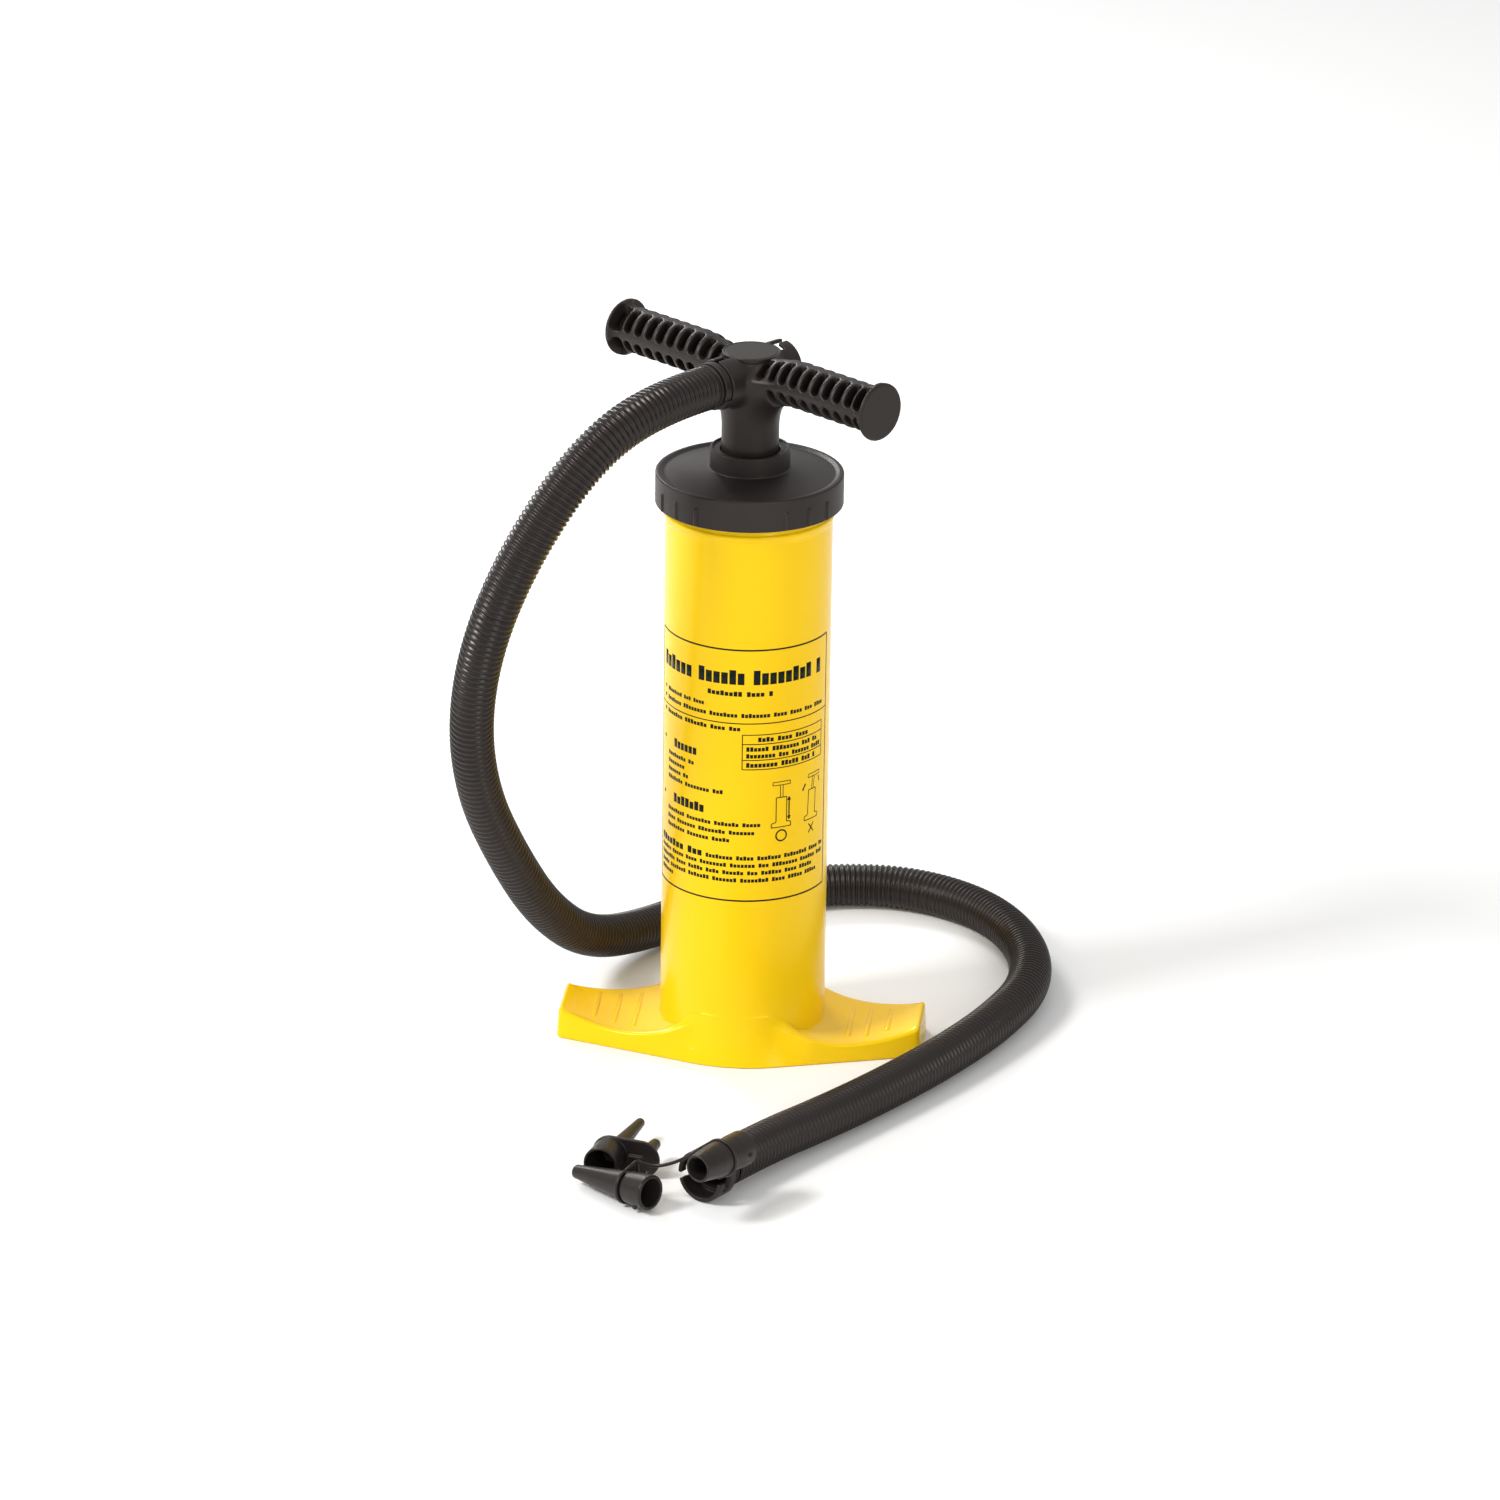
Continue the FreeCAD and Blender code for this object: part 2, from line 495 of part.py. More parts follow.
def make_handle():
    stem = cylinder("stem", "stem_radius", "hub_top - stem_bottom")
    stem.Placement.Base = Vector(0, 0, sheet.stem_bottom)
    solids = [stem]
    for side in GRIP_SIDES:
        name = "right" if side > 0 else "left"
        angle = sheet.grip_angle + (0 if side > 0 else 180)
        grip = along(angle, sheet.grip_height)
        solids.append(cylinder(f"{name}_grip", "grip_radius", "grip_half_length", grip))
        flange = along(angle, sheet.grip_height, sheet.grip_half_length - sheet.grip_flange_width)
        solids.append(cylinder(f"{name}_flange", "grip_flange_radius", "grip_flange_width", flange))
        port = along(sheet.port_angle + (0 if side > 0 else 180), sheet.port_height)
        solids.append(cylinder(f"{name}_port", "port_radius", "port_reach", port))
    blank = fuse("handle_blank", solids)
    cores = []
    low_bore = cylinder("rod_socket", "rod_radius", "rod_top - stem_bottom + 1")
    low_bore.Placement.Base = Vector(0, 0, sheet.stem_bottom - 1)
    valve_room = cylinder("valve_room", "stem_inner_radius", "valve_room_height")
    valve_room.Placement.Base = Vector(0, 0, sheet.rod_top)
    upper_room = cylinder("upper_room", "cover_spigot_radius", "hub_top - hub_roof + 1")
    upper_room.Placement.Base = Vector(0, 0, sheet.hub_roof)
    cores += [low_bore, valve_room, upper_room]
    for side in GRIP_SIDES:
        name = "hose" if side > 0 else "open"
        angle = sheet.port_angle + (0 if side > 0 else 180)
        bore = along(angle, sheet.port_height, sheet.port_step)
        cores.append(cylinder(f"{name}_bore", "port_inner_radius", "port_reach - port_step + 1", bore))
        inner = along(angle, sheet.port_height)
        cores.append(cylinder(f"{name}_passage", "air_shaft_radius", "port_reach", inner))
        slot = doc.addObject("Part::Box", f"{name}_slot")
        bind(slot, Length="slot_length", Width="slot_width", Height="port_radius")
        spin = upright_turn(angle)
        corner = Vector(sheet.port_reach - sheet.slot_length, -sheet.slot_width / 2, 0)
        slot.Placement = FreeCAD.Placement(
            spin.multVec(corner) + Vector(0, 0, sheet.port_height + 3), spin)
        cores.append(slot)
    shaft = cylinder("air_shaft", "air_shaft_radius", "port_height - rod_top")
    shaft.Placement.Base = Vector(0, 0, sheet.rod_top)
    cover_room = cylinder("cover_room", "cover_radius + cover_gap", "grip_radius")
    cover_room.Placement.Base = Vector(0, 0, sheet.hub_top)
    cores.append(cover_room)
    divider = doc.addObject("Part::Box", "divider")
    bind(divider, Length="divider_thickness", Width="1 + air_shaft_radius + air_shaft_radius",
         Height="hub_roof - rod_top - divider_start")
    spin = upright_turn(sheet.port_angle)
    corner = Vector(-sheet.divider_thickness / 2, -sheet.air_shaft_radius - 0.5, 0)
    divider.Placement = FreeCAD.Placement(
        spin.multVec(corner) + Vector(0, 0, sheet.rod_top + sheet.divider_start), spin)
    cores.append(shaft)
    hollow = cut("handle_hollow", blank, fuse("handle_cores", cores + grip_pockets()))
    return fuse("handle", [hollow, divider])


def make_cover():
    turned("hub_cover", [
        ("0", "hub_top - cover_spigot_depth"),
        ("cover_spigot_radius - 0.1", "hub_top - cover_spigot_depth"),
        ("cover_spigot_radius - 0.1", "hub_top"), ("cover_radius", "hub_top"),
        ("cover_radius", "hub_top + cover_thickness - 0.6"),
        ("cover_radius - 0.6", "hub_top + cover_thickness"), ("0", "hub_top + cover_thickness"),
    ])


def valve_places():
    radius = sheet.valve_circle_radius
    return [upright_turn(sheet.port_angle + 45 + 90 * number).multVec(Vector(radius, 0, 0))
            for number in range(4)]


def make_valves():
    """A plate across the stem with four air holes. Two discs open upward and two downward."""
    plate = cylinder("valve_disc_plate", "stem_inner_radius - 0.05", "valve_plate_thickness")
    plate.Placement.Base = Vector(0, 0, sheet.valve_plate_bottom)
    seats = []
    labels = ("outlet_valve_down_stroke", "inlet_valve_down_stroke",
              "inlet_valve_up_stroke", "outlet_valve_up_stroke")
    for label, place in zip(labels, valve_places()):
        seat = cylinder(label + "_seat", "valve_seat_radius", "valve_plate_thickness + 2")
        seat.Placement.Base = place + Vector(0, 0, sheet.valve_plate_bottom - 1)
        seats.append(seat)
        disc = cylinder(label, "valve_radius", "valve_thickness")
        disc.Label = label
        height = sheet.valve_plate_bottom - sheet.valve_gap - sheet.valve_thickness
        if label.startswith("outlet"):
            height = sheet.valve_plate_bottom + sheet.valve_plate_thickness + sheet.valve_gap
        disc.Placement.Base = place + Vector(0, 0, height)
    return [cut("valve_plate", plate, fuse("valve_seats", seats))] + list(labels)


# --- Hose, its connector and cuff ------------------------------------------------------------

def make_connector():
    """A bayonet plug whose flange turns in the handle's port, with a groove for an O-ring."""
    plug = turned("connector_plug", [
        ("connector_bore_radius", "connector_start"),
        ("connector_spigot_radius", "connector_start"),
        ("connector_spigot_radius", "connector_groove_start"),
        ("connector_groove_radius", "connector_groove_start"),
        ("connector_groove_radius", "connector_groove_end"),
        ("connector_spigot_radius", "connector_groove_end"),
        ("connector_spigot_radius", "connector_flange - 0.6"),
        ("connector_radius", "connector_flange - 0.6"), ("connector_radius", "connector_end"),
        ("connector_bore_radius", "connector_end"),
    ])
    lug = doc.addObject("Part::Box", "connector_lug")
    bind(lug, Length="lug_width", Width="lug_width", Height="lug_length - 0.6")
    lug.Placement.Base = Vector(sheet.connector_radius - sheet.lug_width + sheet.lug_proud,
                                -sheet.lug_width / 2, sheet.connector_flange)
    body = fuse("hose_connector", [plug, lug])
    body.Placement = along(sheet.port_angle, sheet.port_height)
    ring = turned("connector_oring", box_profile(
        "oring_inner_radius", "port_inner_radius - 0.05", "connector_groove_start",
        "connector_groove_end"))
    ring.Placement = along(sheet.port_angle, sheet.port_height)


def route_wire(points, report=None):
    """Straight runs joined by arcs that touch both runs, each arc as large as its runs allow."""
    corners = [Vector(*point) for point in points]
    edges = []
    here = corners[0]
    radii = []
    for before, corner, after in zip(corners, corners[1:], corners[2:]):
        come, leave = (corner - before), (after - corner)
        turn_angle = come.getAngle(leave)
        shorter = min(come.Length, leave.Length)
        radius = 0.45 * shorter / math.tan(turn_angle / 2)
        setback = 0.45 * shorter
        come.normalize()
        leave.normalize()
        start, end = corner - come * setback, corner + leave * setback
        bisector = (leave - come).normalize()
        middle = corner + bisector * (radius / math.cos(turn_angle / 2) - radius)
        edges.append(Part.LineSegment(here, start).toShape())
        edges.append(Part.Arc(start, middle, end).toShape())
        radii.append(radius)
        here = end
    edges.append(Part.LineSegment(here, corners[-1]).toShape())
    wire = Part.Wire(edges)
    if report:
        print(report, "length", round(wire.Length, 1), "radii", [round(value) for value in radii])
    return wire


def ring_face(centre, direction, outer, inner=0.0):
    outside = Part.Wire(Part.makeCircle(outer, centre, direction))
    if not inner:
        return Part.Face(outside)
    inside = Part.Wire(Part.makeCircle(inner, centre, direction))
    return Part.Face([outside, inside], "Part::FaceMakerBullseye")


def make_cord(label, points, outer, inner=0.0):
    """A tube along a route; its volume is compared with its section times its length."""
    wire = route_wire(points, label)
    start = Vector(*points[0])
    face = ring_face(start, Vector(*points[1]) - start, outer, inner)
    solid = wire.makePipe(face)
    section = math.pi * (outer ** 2 - inner ** 2)
    print(label, "volume ratio", round(solid.Volume / (section * wire.Length), 4))
    item = doc.addObject("Part::Feature", label)
    item.Shape = solid
    item.Label = label
    return item


def make_cuff():
    """The socket on the hose's free end, with an opening for the nozzles' lugs."""
    shell = turned("cuff_shell", [
        ("cuff_inner_radius", "0"), ("cuff_radius", "0"), ("cuff_radius", "cuff_length - 1"),
        ("cuff_radius - 1", "cuff_length"), ("cuff_spigot - 2", "cuff_length"),
        ("cuff_spigot - 2", "cuff_length - cuff_web"),
        ("cuff_inner_radius", "cuff_length - cuff_web"),
    ])
    slot = doc.addObject("Part::Box", "cuff_slot")
    bind(slot, Length="cuff_radius", Width="slot_width", Height="slot_length - 2")
    slot.Placement.Base = Vector(-sheet.cuff_radius - 4, -sheet.slot_width / 2, -1)
    body = cut("hose_cuff", shell, slot)
    end = Vector(*HOSE_ROUTE[-1])
    last_run = Vector(*HOSE_ROUTE[-2]) - end
    spin = upright_turn(math.degrees(math.atan2(last_run.y, last_run.x)))
    mouth = end - spin.multVec(Vector(sheet.cuff_length, 0, 0))
    lay_down = FreeCAD.Rotation(Vector(0, 1, 0), 90)
    body.Placement = FreeCAD.Placement(mouth, spin * lay_down)


# --- Nozzles ---------------------------------------------------------------------------------

def aimed(start, tip, roll=0.0):
    """A place at start whose own Z axis points at tip."""
    direction = Vector(*tip) - Vector(*start)
    return FreeCAD.Placement(Vector(*start), FreeCAD.Rotation(Vector(0, 0, 1), direction)
                             * upright_turn(roll))


def bayonet_pins(label, height):
    pin = doc.addObject("Part::Cylinder", label + "_pins")
    bind(pin, Radius="nozzle_lug_radius", Height="nozzle_lug_reach + nozzle_lug_reach")
    pin.Placement = FreeCAD.Placement(Vector(-sheet.nozzle_lug_reach, 0, height),
                                      FreeCAD.Rotation(Vector(0, 1, 0), 90))
    return pin


def nozzle(label, outer, inner, place, pin_height):
    """A turned nozzle: outer and inner outlines from the open base up to the tip."""
    shell = turned(label + "_shell", outer + list(reversed(inner)))
    bore = turned(label + "_core", [("0", "-1")] + [("nozzle_base_inner_radius", "-1")]
                  + [("nozzle_base_inner_radius", "12"), ("0", "12")])
    pins = cut(label + "_lugs", bayonet_pins(label, pin_height), bore)
    piece = fuse(label, [shell, pins])
    piece.Placement = place
    return piece


def make_nozzles():
    base = [("nozzle_base_radius", "0"), ("nozzle_base_radius", "10"), ("10.2", "20.5")]
    base_inner = [("nozzle_base_inner_radius", "0"), ("nozzle_base_inner_radius", "10"),
                  ("8.4", "20.5")]
    nozzle("wide_nozzle",
           base + [("10.2", "22.7"), ("11", "22.7"), ("10.4", "30"), ("9.2", "38"), ("8", "45.4")],
           base_inner + [("8.8", "30"), ("7.6", "38"), ("6.6", "45.4")],
           aimed(WIDE_NOZZLE_BASE, WIDE_NOZZLE_TIP, 150), 6)
    nozzle("long_nozzle",
           base + [("8.8", "23"), ("8.2", "26"), ("6.2", "48"), ("4", "70")],
           base_inner + [("7.2", "23"), ("6.6", "26"), ("4.6", "48"), ("2.6", "70")],
           aimed(LONG_NOZZLE_BASE, LONG_NOZZLE_TIP), 9)


def twin_end(label, x, radius):
    """One round end of the twin nozzle's oval plate."""
    end = cylinder(label, radius, "twin_plate_thickness")
    end.Placement.Base = Vector(x, 0, sheet.twin_socket_length)
    return end


def make_twin_nozzle():
    """A tall and a short tip on one oval plate, over a socket like the other nozzles' base."""
    spread = sheet.twin_spread
    deck = sheet.twin_socket_length + sheet.twin_plate_thickness
    socket = turned("twin_socket", box_profile("nozzle_base_inner_radius", "nozzle_base_radius", "0",
                                               "twin_socket_length"))
    plate = doc.addObject("Part::Box", "twin_plate")
    bind(plate, Length="twin_spread", Width="twin_plate_radius + twin_plate_radius",
         Height="twin_plate_thickness")
    plate.Placement.Base = Vector(0, -sheet.twin_plate_radius, sheet.twin_socket_length)
    solids = [socket, plate, twin_end("twin_near_end", 0, "twin_plate_radius"),
              twin_end("twin_far_end", spread, "twin_plate_radius")]
    bores = []
    for label, x, root, tip, reach in (("tall_tip", 0, "6", "2.9", "tall_tip_length"),
                                       ("short_tip", spread, "5.6", "3.2", "short_tip_length")):
        cone = doc.addObject("Part::Cone", label)
        bind(cone, Radius1=root, Radius2=tip, Height=reach)
        cone.Placement.Base = Vector(x, 0, deck - 0.1)
        solids.append(cone)
        bore = doc.addObject("Part::Cone", label + "_bore")
        bind(bore, Radius1=root + " - 1.4", Radius2=tip + " - 1.4", Height=reach + " + 4")
        bore.Placement.Base = Vector(x, 0, deck - 3)
        bores.append(bore)
    link = doc.addObject("Part::Box", "twin_passage")
    bind(link, Length="twin_spread", Width="6", Height="6")
    link.Placement.Base = Vector(0, -3, deck - 0.5)
    roof = doc.addObject("Part::Box", "twin_passage_roof")
    bind(roof, Length="twin_spread", Width="9", Height="8")
    roof.Placement.Base = Vector(0, -4.5, deck - 0.1)
    piece = cut("twin_nozzle", fuse("twin_blank", solids + [roof]), fuse("twin_air", bores + [link]))
    piece.Placement = aimed(TWIN_NOZZLE_BASE, TWIN_NOZZLE_TIP, TWIN_NOZZLE_ROLL)


def strap_loop(label, base, tip, reach, radius):
    """A ring of strap round a nozzle's shoulder."""
    ring = doc.addObject("Part::Torus", label)
    ring.Label = label
    bind(ring, Radius1=radius + " + strap_radius", Radius2="strap_radius")
    place = aimed(base, tip)
    ring.Placement = FreeCAD.Placement(place.multVec(Vector(0, 0, reach)), place.Rotation)


def make_straps():
    strap_loop("long_nozzle_loop", LONG_NOZZLE_BASE, LONG_NOZZLE_TIP, 23.6, "8.7")
    strap_loop("wide_nozzle_loop", WIDE_NOZZLE_BASE, WIDE_NOZZLE_TIP, 21.6, "10.2")
    make_cord("tether_strap", STRAP_ROUTE, sheet.strap_radius)


# --- Build and write -------------------------------------------------------------------------

def write_parts(nodes):
    doc.recompute()
    for item in doc.Objects:
        if "Invalid" in item.State or "Error" in item.State:
            raise RuntimeError(f"{item.Name} failed: {item.State}")
    os.makedirs("parts", exist_ok=True)
    for label in nodes:
        shape = doc.getObjectsByLabel(label)[0].Shape
        if shape.isNull() or not shape.isValid() or not shape.Solids:
            raise RuntimeError(f"{label} has no valid solid")
        print(f"{label:28s} {shape.Volume / 1000:9.2f} cm3  solids {len(shape.Solids)}")
        shape.exportStep(f"parts/{label}.step")


barrel = add_tread_ribs(make_barrel())
barrel.Label = "barrel_moulding"
make_cap()
make_guides()
make_piston()
make_rod()
make_handle()
make_cover()
make_valves()
make_connector()
make_cord("hose", HOSE_ROUTE, sheet.hose_radius, sheet.hose_bore_radius)
make_cuff()
make_nozzles()
make_twin_nozzle()
make_straps()
write_parts([
    "barrel_moulding", "screw_cap", "cap_gasket", "rod_bush", "rod_seal", "seal_retainer",
    "piston_lower", "piston_upper", "piston_screws", "piston_ring_lower", "piston_ring_upper",
    "rod_tube", "inner_tube", "rod_foot_plug", "bump_stop", "handle", "hub_cover", "valve_plate",
    "outlet_valve_down_stroke", "outlet_valve_up_stroke", "inlet_valve_down_stroke",
    "inlet_valve_up_stroke", "hose_connector", "connector_oring", "hose", "hose_cuff",
    "wide_nozzle", "long_nozzle", "twin_nozzle", "tether_strap", "long_nozzle_loop",
    "wide_nozzle_loop",
])
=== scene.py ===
"""Double action hand pump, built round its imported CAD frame. Metres, +Z up, foot along X.

Lengths in this script are millimetres until they become mesh points, which MM turns into metres.
"""
import json
import math

import bmesh
import bpy
import numpy as np
from mathutils import Matrix, Quaternion, Vector


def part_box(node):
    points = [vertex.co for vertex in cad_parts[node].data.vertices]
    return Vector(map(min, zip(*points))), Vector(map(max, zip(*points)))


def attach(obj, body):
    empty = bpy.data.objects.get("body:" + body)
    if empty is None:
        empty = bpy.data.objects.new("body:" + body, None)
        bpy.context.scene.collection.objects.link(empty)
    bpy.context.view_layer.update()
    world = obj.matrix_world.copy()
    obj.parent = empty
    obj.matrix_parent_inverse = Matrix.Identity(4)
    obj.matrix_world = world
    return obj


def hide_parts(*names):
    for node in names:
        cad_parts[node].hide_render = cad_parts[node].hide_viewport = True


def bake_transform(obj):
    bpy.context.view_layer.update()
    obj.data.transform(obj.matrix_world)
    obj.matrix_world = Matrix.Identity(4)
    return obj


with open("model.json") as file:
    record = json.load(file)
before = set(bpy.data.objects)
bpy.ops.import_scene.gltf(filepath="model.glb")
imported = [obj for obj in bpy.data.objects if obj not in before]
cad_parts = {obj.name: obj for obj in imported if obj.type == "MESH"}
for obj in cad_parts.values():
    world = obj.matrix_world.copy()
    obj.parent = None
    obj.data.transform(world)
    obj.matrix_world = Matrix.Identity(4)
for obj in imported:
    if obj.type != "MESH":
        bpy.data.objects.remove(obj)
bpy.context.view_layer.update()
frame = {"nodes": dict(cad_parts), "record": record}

MM = 0.001


# --- Measures taken from the frame -----------------------------------------------------------

def box_mm(node):
    """Lowest and highest corner of a CAD node, in millimetres."""
    low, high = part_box(node)
    return np.array(low) / MM, np.array(high) / MM


CAP_LOW, CAP_HIGH = box_mm("screw_cap")
HANDLE_LOW, HANDLE_HIGH = box_mm("handle")
COVER_LOW, COVER_HIGH = box_mm("hub_cover")
PORT_MOUNT = next(m for m in frame["record"]["mounts"] if m["name"] == "open_air_port")
PORT_ANGLE = math.degrees(math.atan2(PORT_MOUNT["axis"][1], PORT_MOUNT["axis"][0]))
GRIP_ANGLE = PORT_ANGLE - 90.0
PORT_HEIGHT = PORT_MOUNT["pos_m"][2] / MM
CAP_RADIUS = 59.0
BARREL_RADIUS = 52.5
BORE_RADIUS = 50.0
HOSE_DIAMETER = 28.0

# The hose's route, as in the CAD model: connector, down beside the barrel, behind it, round to
# the front.
HOSE_ROUTE = [
    (-25.2, -31.1, 446.0), (-54.0, -66.7, 446.0), (-90.0, -97.0, 423.0), (-126.0, -111.0, 368.0),
    (-152.0, -109.0, 306.0), (-164.0, -93.0, 243.0), (-162.0, -65.0, 182.0), (-147.0, -31.0, 126.0),
    (-130.0, 12.0, 73.0), (-108.0, 64.0, 32.0), (-77.0, 121.0, 16.0), (-36.0, 179.0, 14.2),
    (20.0, 218.0, 14.2), (84.0, 226.0, 14.2), (141.0, 193.0, 14.2), (174.0, 133.0, 14.2),
    (181.0, 67.0, 14.2), (161.0, 2.0, 14.2), (131.0, -59.0, 14.2), (98.0, -113.0, 14.2),
    (66.0, -160.0, 14.6), (35.1, -204.2, 16.5), (13.24, -240.04, 16.5),
]
STRAP_ROUTE = [
    (-37.5, -262.0, 26.0), (-31.5, -262.2, 23.4), (-24.0, -262.8, 23.4), (-15.0, -265.4, 27.2),
    (-7.0, -269.6, 33.0), (-0.5, -274.2, 39.4), (3.2, -277.2, 43.6),
]
WIDE_NOZZLE = (26.8, -258.5, 36.9), (3.5, -297.5, 38.9)
LONG_NOZZLE = (-25.8, -280.4, 13.2), (-78.4, -242.4, 8.0)
TWIN_NOZZLE = (-62.3, -241.6, 12.3), (-44.7, -173.0, 12.3)
TWIN_ROLL = -14.0


# --- Mesh helpers ----------------------------------------------------------------------------

def add_mesh(name, points, faces, material, smooth=True):
    """A mesh object from points in millimetres."""
    mesh = bpy.data.meshes.new(name)
    mesh.from_pydata((np.asarray(points, float) * MM).tolist(), [], faces)
    mesh.validate()
    mesh.polygons.foreach_set("use_smooth", [smooth] * len(mesh.polygons))
    mesh.materials.append(material)
    mesh.update()
    obj = bpy.data.objects.new(name, mesh)
    bpy.context.scene.collection.objects.link(obj)
    return obj


def ring_faces(rows, columns, closed_rows=False):
    """Quads between rows of a grid whose columns close into rings."""
    faces = []
    for row in range(rows if closed_rows else rows - 1):
        for column in range(columns):
            after = (column + 1) % columns
            below, above = row * columns, ((row + 1) % rows) * columns
            faces.append((below + column, below + after, above + after, above + column))
    return faces


def rounded(corners, steps=4):
    """An outline of (across, up, radius) corners with each corner turned into an arc.

    A point is added just outside each arc, so that flat stretches shade flat.
    """
    count = len(corners)
    points = []
    for index, (x, y, radius) in enumerate(corners):
        here = Vector((x, y))
        before = Vector(corners[index - 1][:2])
        after = Vector(corners[(index + 1) % count][:2])
        if radius <= 0:
            points.append((x, y))
            continue
        come, leave = (here - before).normalized(), (after - here).normalized()
        turn = come.angle(leave)
        setback = radius * math.tan(turn / 2)
        setback = min(setback, 0.48 * (here - before).length, 0.48 * (after - here).length)
        radius = setback / math.tan(turn / 2)
        start, end = here - come * setback, here + leave * setback
        middle = start + Vector((-come.y, come.x)) * radius * math.copysign(1, come.cross(leave))
        guard = 0.15 * radius
        points.append(tuple(start - come * guard))
        first = start - middle
        side = math.copysign(1, come.cross(leave))
        for step in range(steps + 1):
            angle = side * turn * step / steps
            spun = Vector((first.x * math.cos(angle) - first.y * math.sin(angle),
                           first.x * math.sin(angle) + first.y * math.cos(angle)))
            points.append(tuple(middle + spun))
        points.append(tuple(end + leave * guard))
    return points


def lathe_points(outline, segments):
    """Rings of points, one for each (radius, height) of an outline."""
    angles = np.linspace(0, 2 * math.pi, segments, endpoint=False)
    return np.array([(r * math.cos(a), r * math.sin(a), z) for r, z in outline for a in angles])


def lathe(name, corners, material, segments=96, place=None, steps=4):
    """A turned solid from a closed outline of (radius, height, corner radius)."""
    outline = rounded(corners, steps)
    points = lathe_points(outline, segments)
    if place is not None:
        points = transform(points, place)
    return add_mesh(name, points, ring_faces(len(outline), segments, True), material)


def transform(points, place):
    """Points moved by a 4 by 4 matrix."""
    points = np.asarray(points, float)
    matrix = np.array(place)
    return points @ matrix[:3, :3].T + matrix[:3, 3]


def aimed(start, tip, roll=0.0):
    """A place at start whose own Z axis points at tip by the shortest turn, then rolls about it."""
    direction = Vector(tip) - Vector(start)
    turn = Vector((0, 0, 1)).rotation_difference(direction)
    spin = Quaternion((0, 0, 1), math.radians(roll))
    return Matrix.Translation(start) @ (turn @ spin).to_matrix().to_4x4()


def along(angle, height, reach=0.0):
    """A place whose own Z axis points level along the compass angle."""
    spin = Matrix.Rotation(math.radians(angle), 4, "Z")
    lay_down = Matrix.Rotation(math.radians(90), 4, "Y")
    return Matrix.Translation((0, 0, height)) @ spin @ Matrix.Translation((reach, 0, 0)) @ lay_down


def joined(name, pieces):
    """One object from several, keeping the first one's material."""
    merged = bmesh.new()
    for piece in pieces:
        merged.from_mesh(piece.data)
    mesh = bpy.data.meshes.new(name)
    merged.to_mesh(mesh)
    merged.free()
    mesh.materials.append(pieces[0].data.materials[0])
    obj = bpy.data.objects.new(name, mesh)
    bpy.context.scene.collection.objects.link(obj)
    for piece in pieces:
        bpy.data.objects.remove(piece)
    return obj


# --- Solid shapes as distance fields ---------------------------------------------------------

class Field:
    """A block of sample points round a shape, with distances built up by the calls below."""

    def __init__(self, low, high, step):
        self.low, self.step = np.array(low, float), step
        counts = np.ceil((np.array(high) - self.low) / step).astype(int) + 1
        axes = [self.low[i] + step * np.arange(counts[i]) for i in range(3)]
        self.x, self.y, self.z = np.meshgrid(*[a.astype(np.float32) for a in axes], indexing="ij")
        self.value = np.full(self.x.shape, 1e3, np.float32)

    def add(self, distance, blend=0.0):
        self.value = smooth_min(self.value, distance, blend)

    def cut(self, distance, blend=0.0):
        self.value = -smooth_min(-self.value, distance, blend)

    def mesh(self, name, material, place=None):
        points, faces = surface_net(self.value, self.low, self.step)
        if place is not None:
            points = transform(points, place)
        return add_mesh(name, points, faces, material)


def smooth_min(a, b, blend):
    """The lesser of two distances, with the crease between them filled over the blend's width."""
    blend = np.maximum(blend, 1e-4)
    share = np.clip(0.5 + 0.5 * (b - a) / blend, 0, 1)
    return b + (a - b) * share - blend * share * (1 - share)


def sd_box(x, y, z, half, edge=0.0):
    """Distance to a box of half sizes, with its edges rounded."""
    qx, qy, qz = np.abs(x) - half[0] + edge, np.abs(y) - half[1] + edge, np.abs(z) - half[2] + edge
    outside = np.sqrt(np.maximum(qx, 0) ** 2 + np.maximum(qy, 0) ** 2 + np.maximum(qz, 0) ** 2)
    return outside + np.minimum(np.maximum(qx, np.maximum(qy, qz)), 0) - edge


def sd_rod(across, up, length_from, length_to, along_axis, radius, edge=0.0):
    """Distance to a rod whose radius may vary along its axis. across and up are measured from it."""
    out = np.sqrt(across ** 2 + up ** 2) - radius + edge
    middle, half = (length_from + length_to) / 2, (length_to - length_from) / 2
    end = np.abs(along_axis - middle) - half + edge
    outside = np.sqrt(np.maximum(out, 0) ** 2 + np.maximum(end, 0) ** 2)
    return outside + np.minimum(np.maximum(out, end), 0) - edge


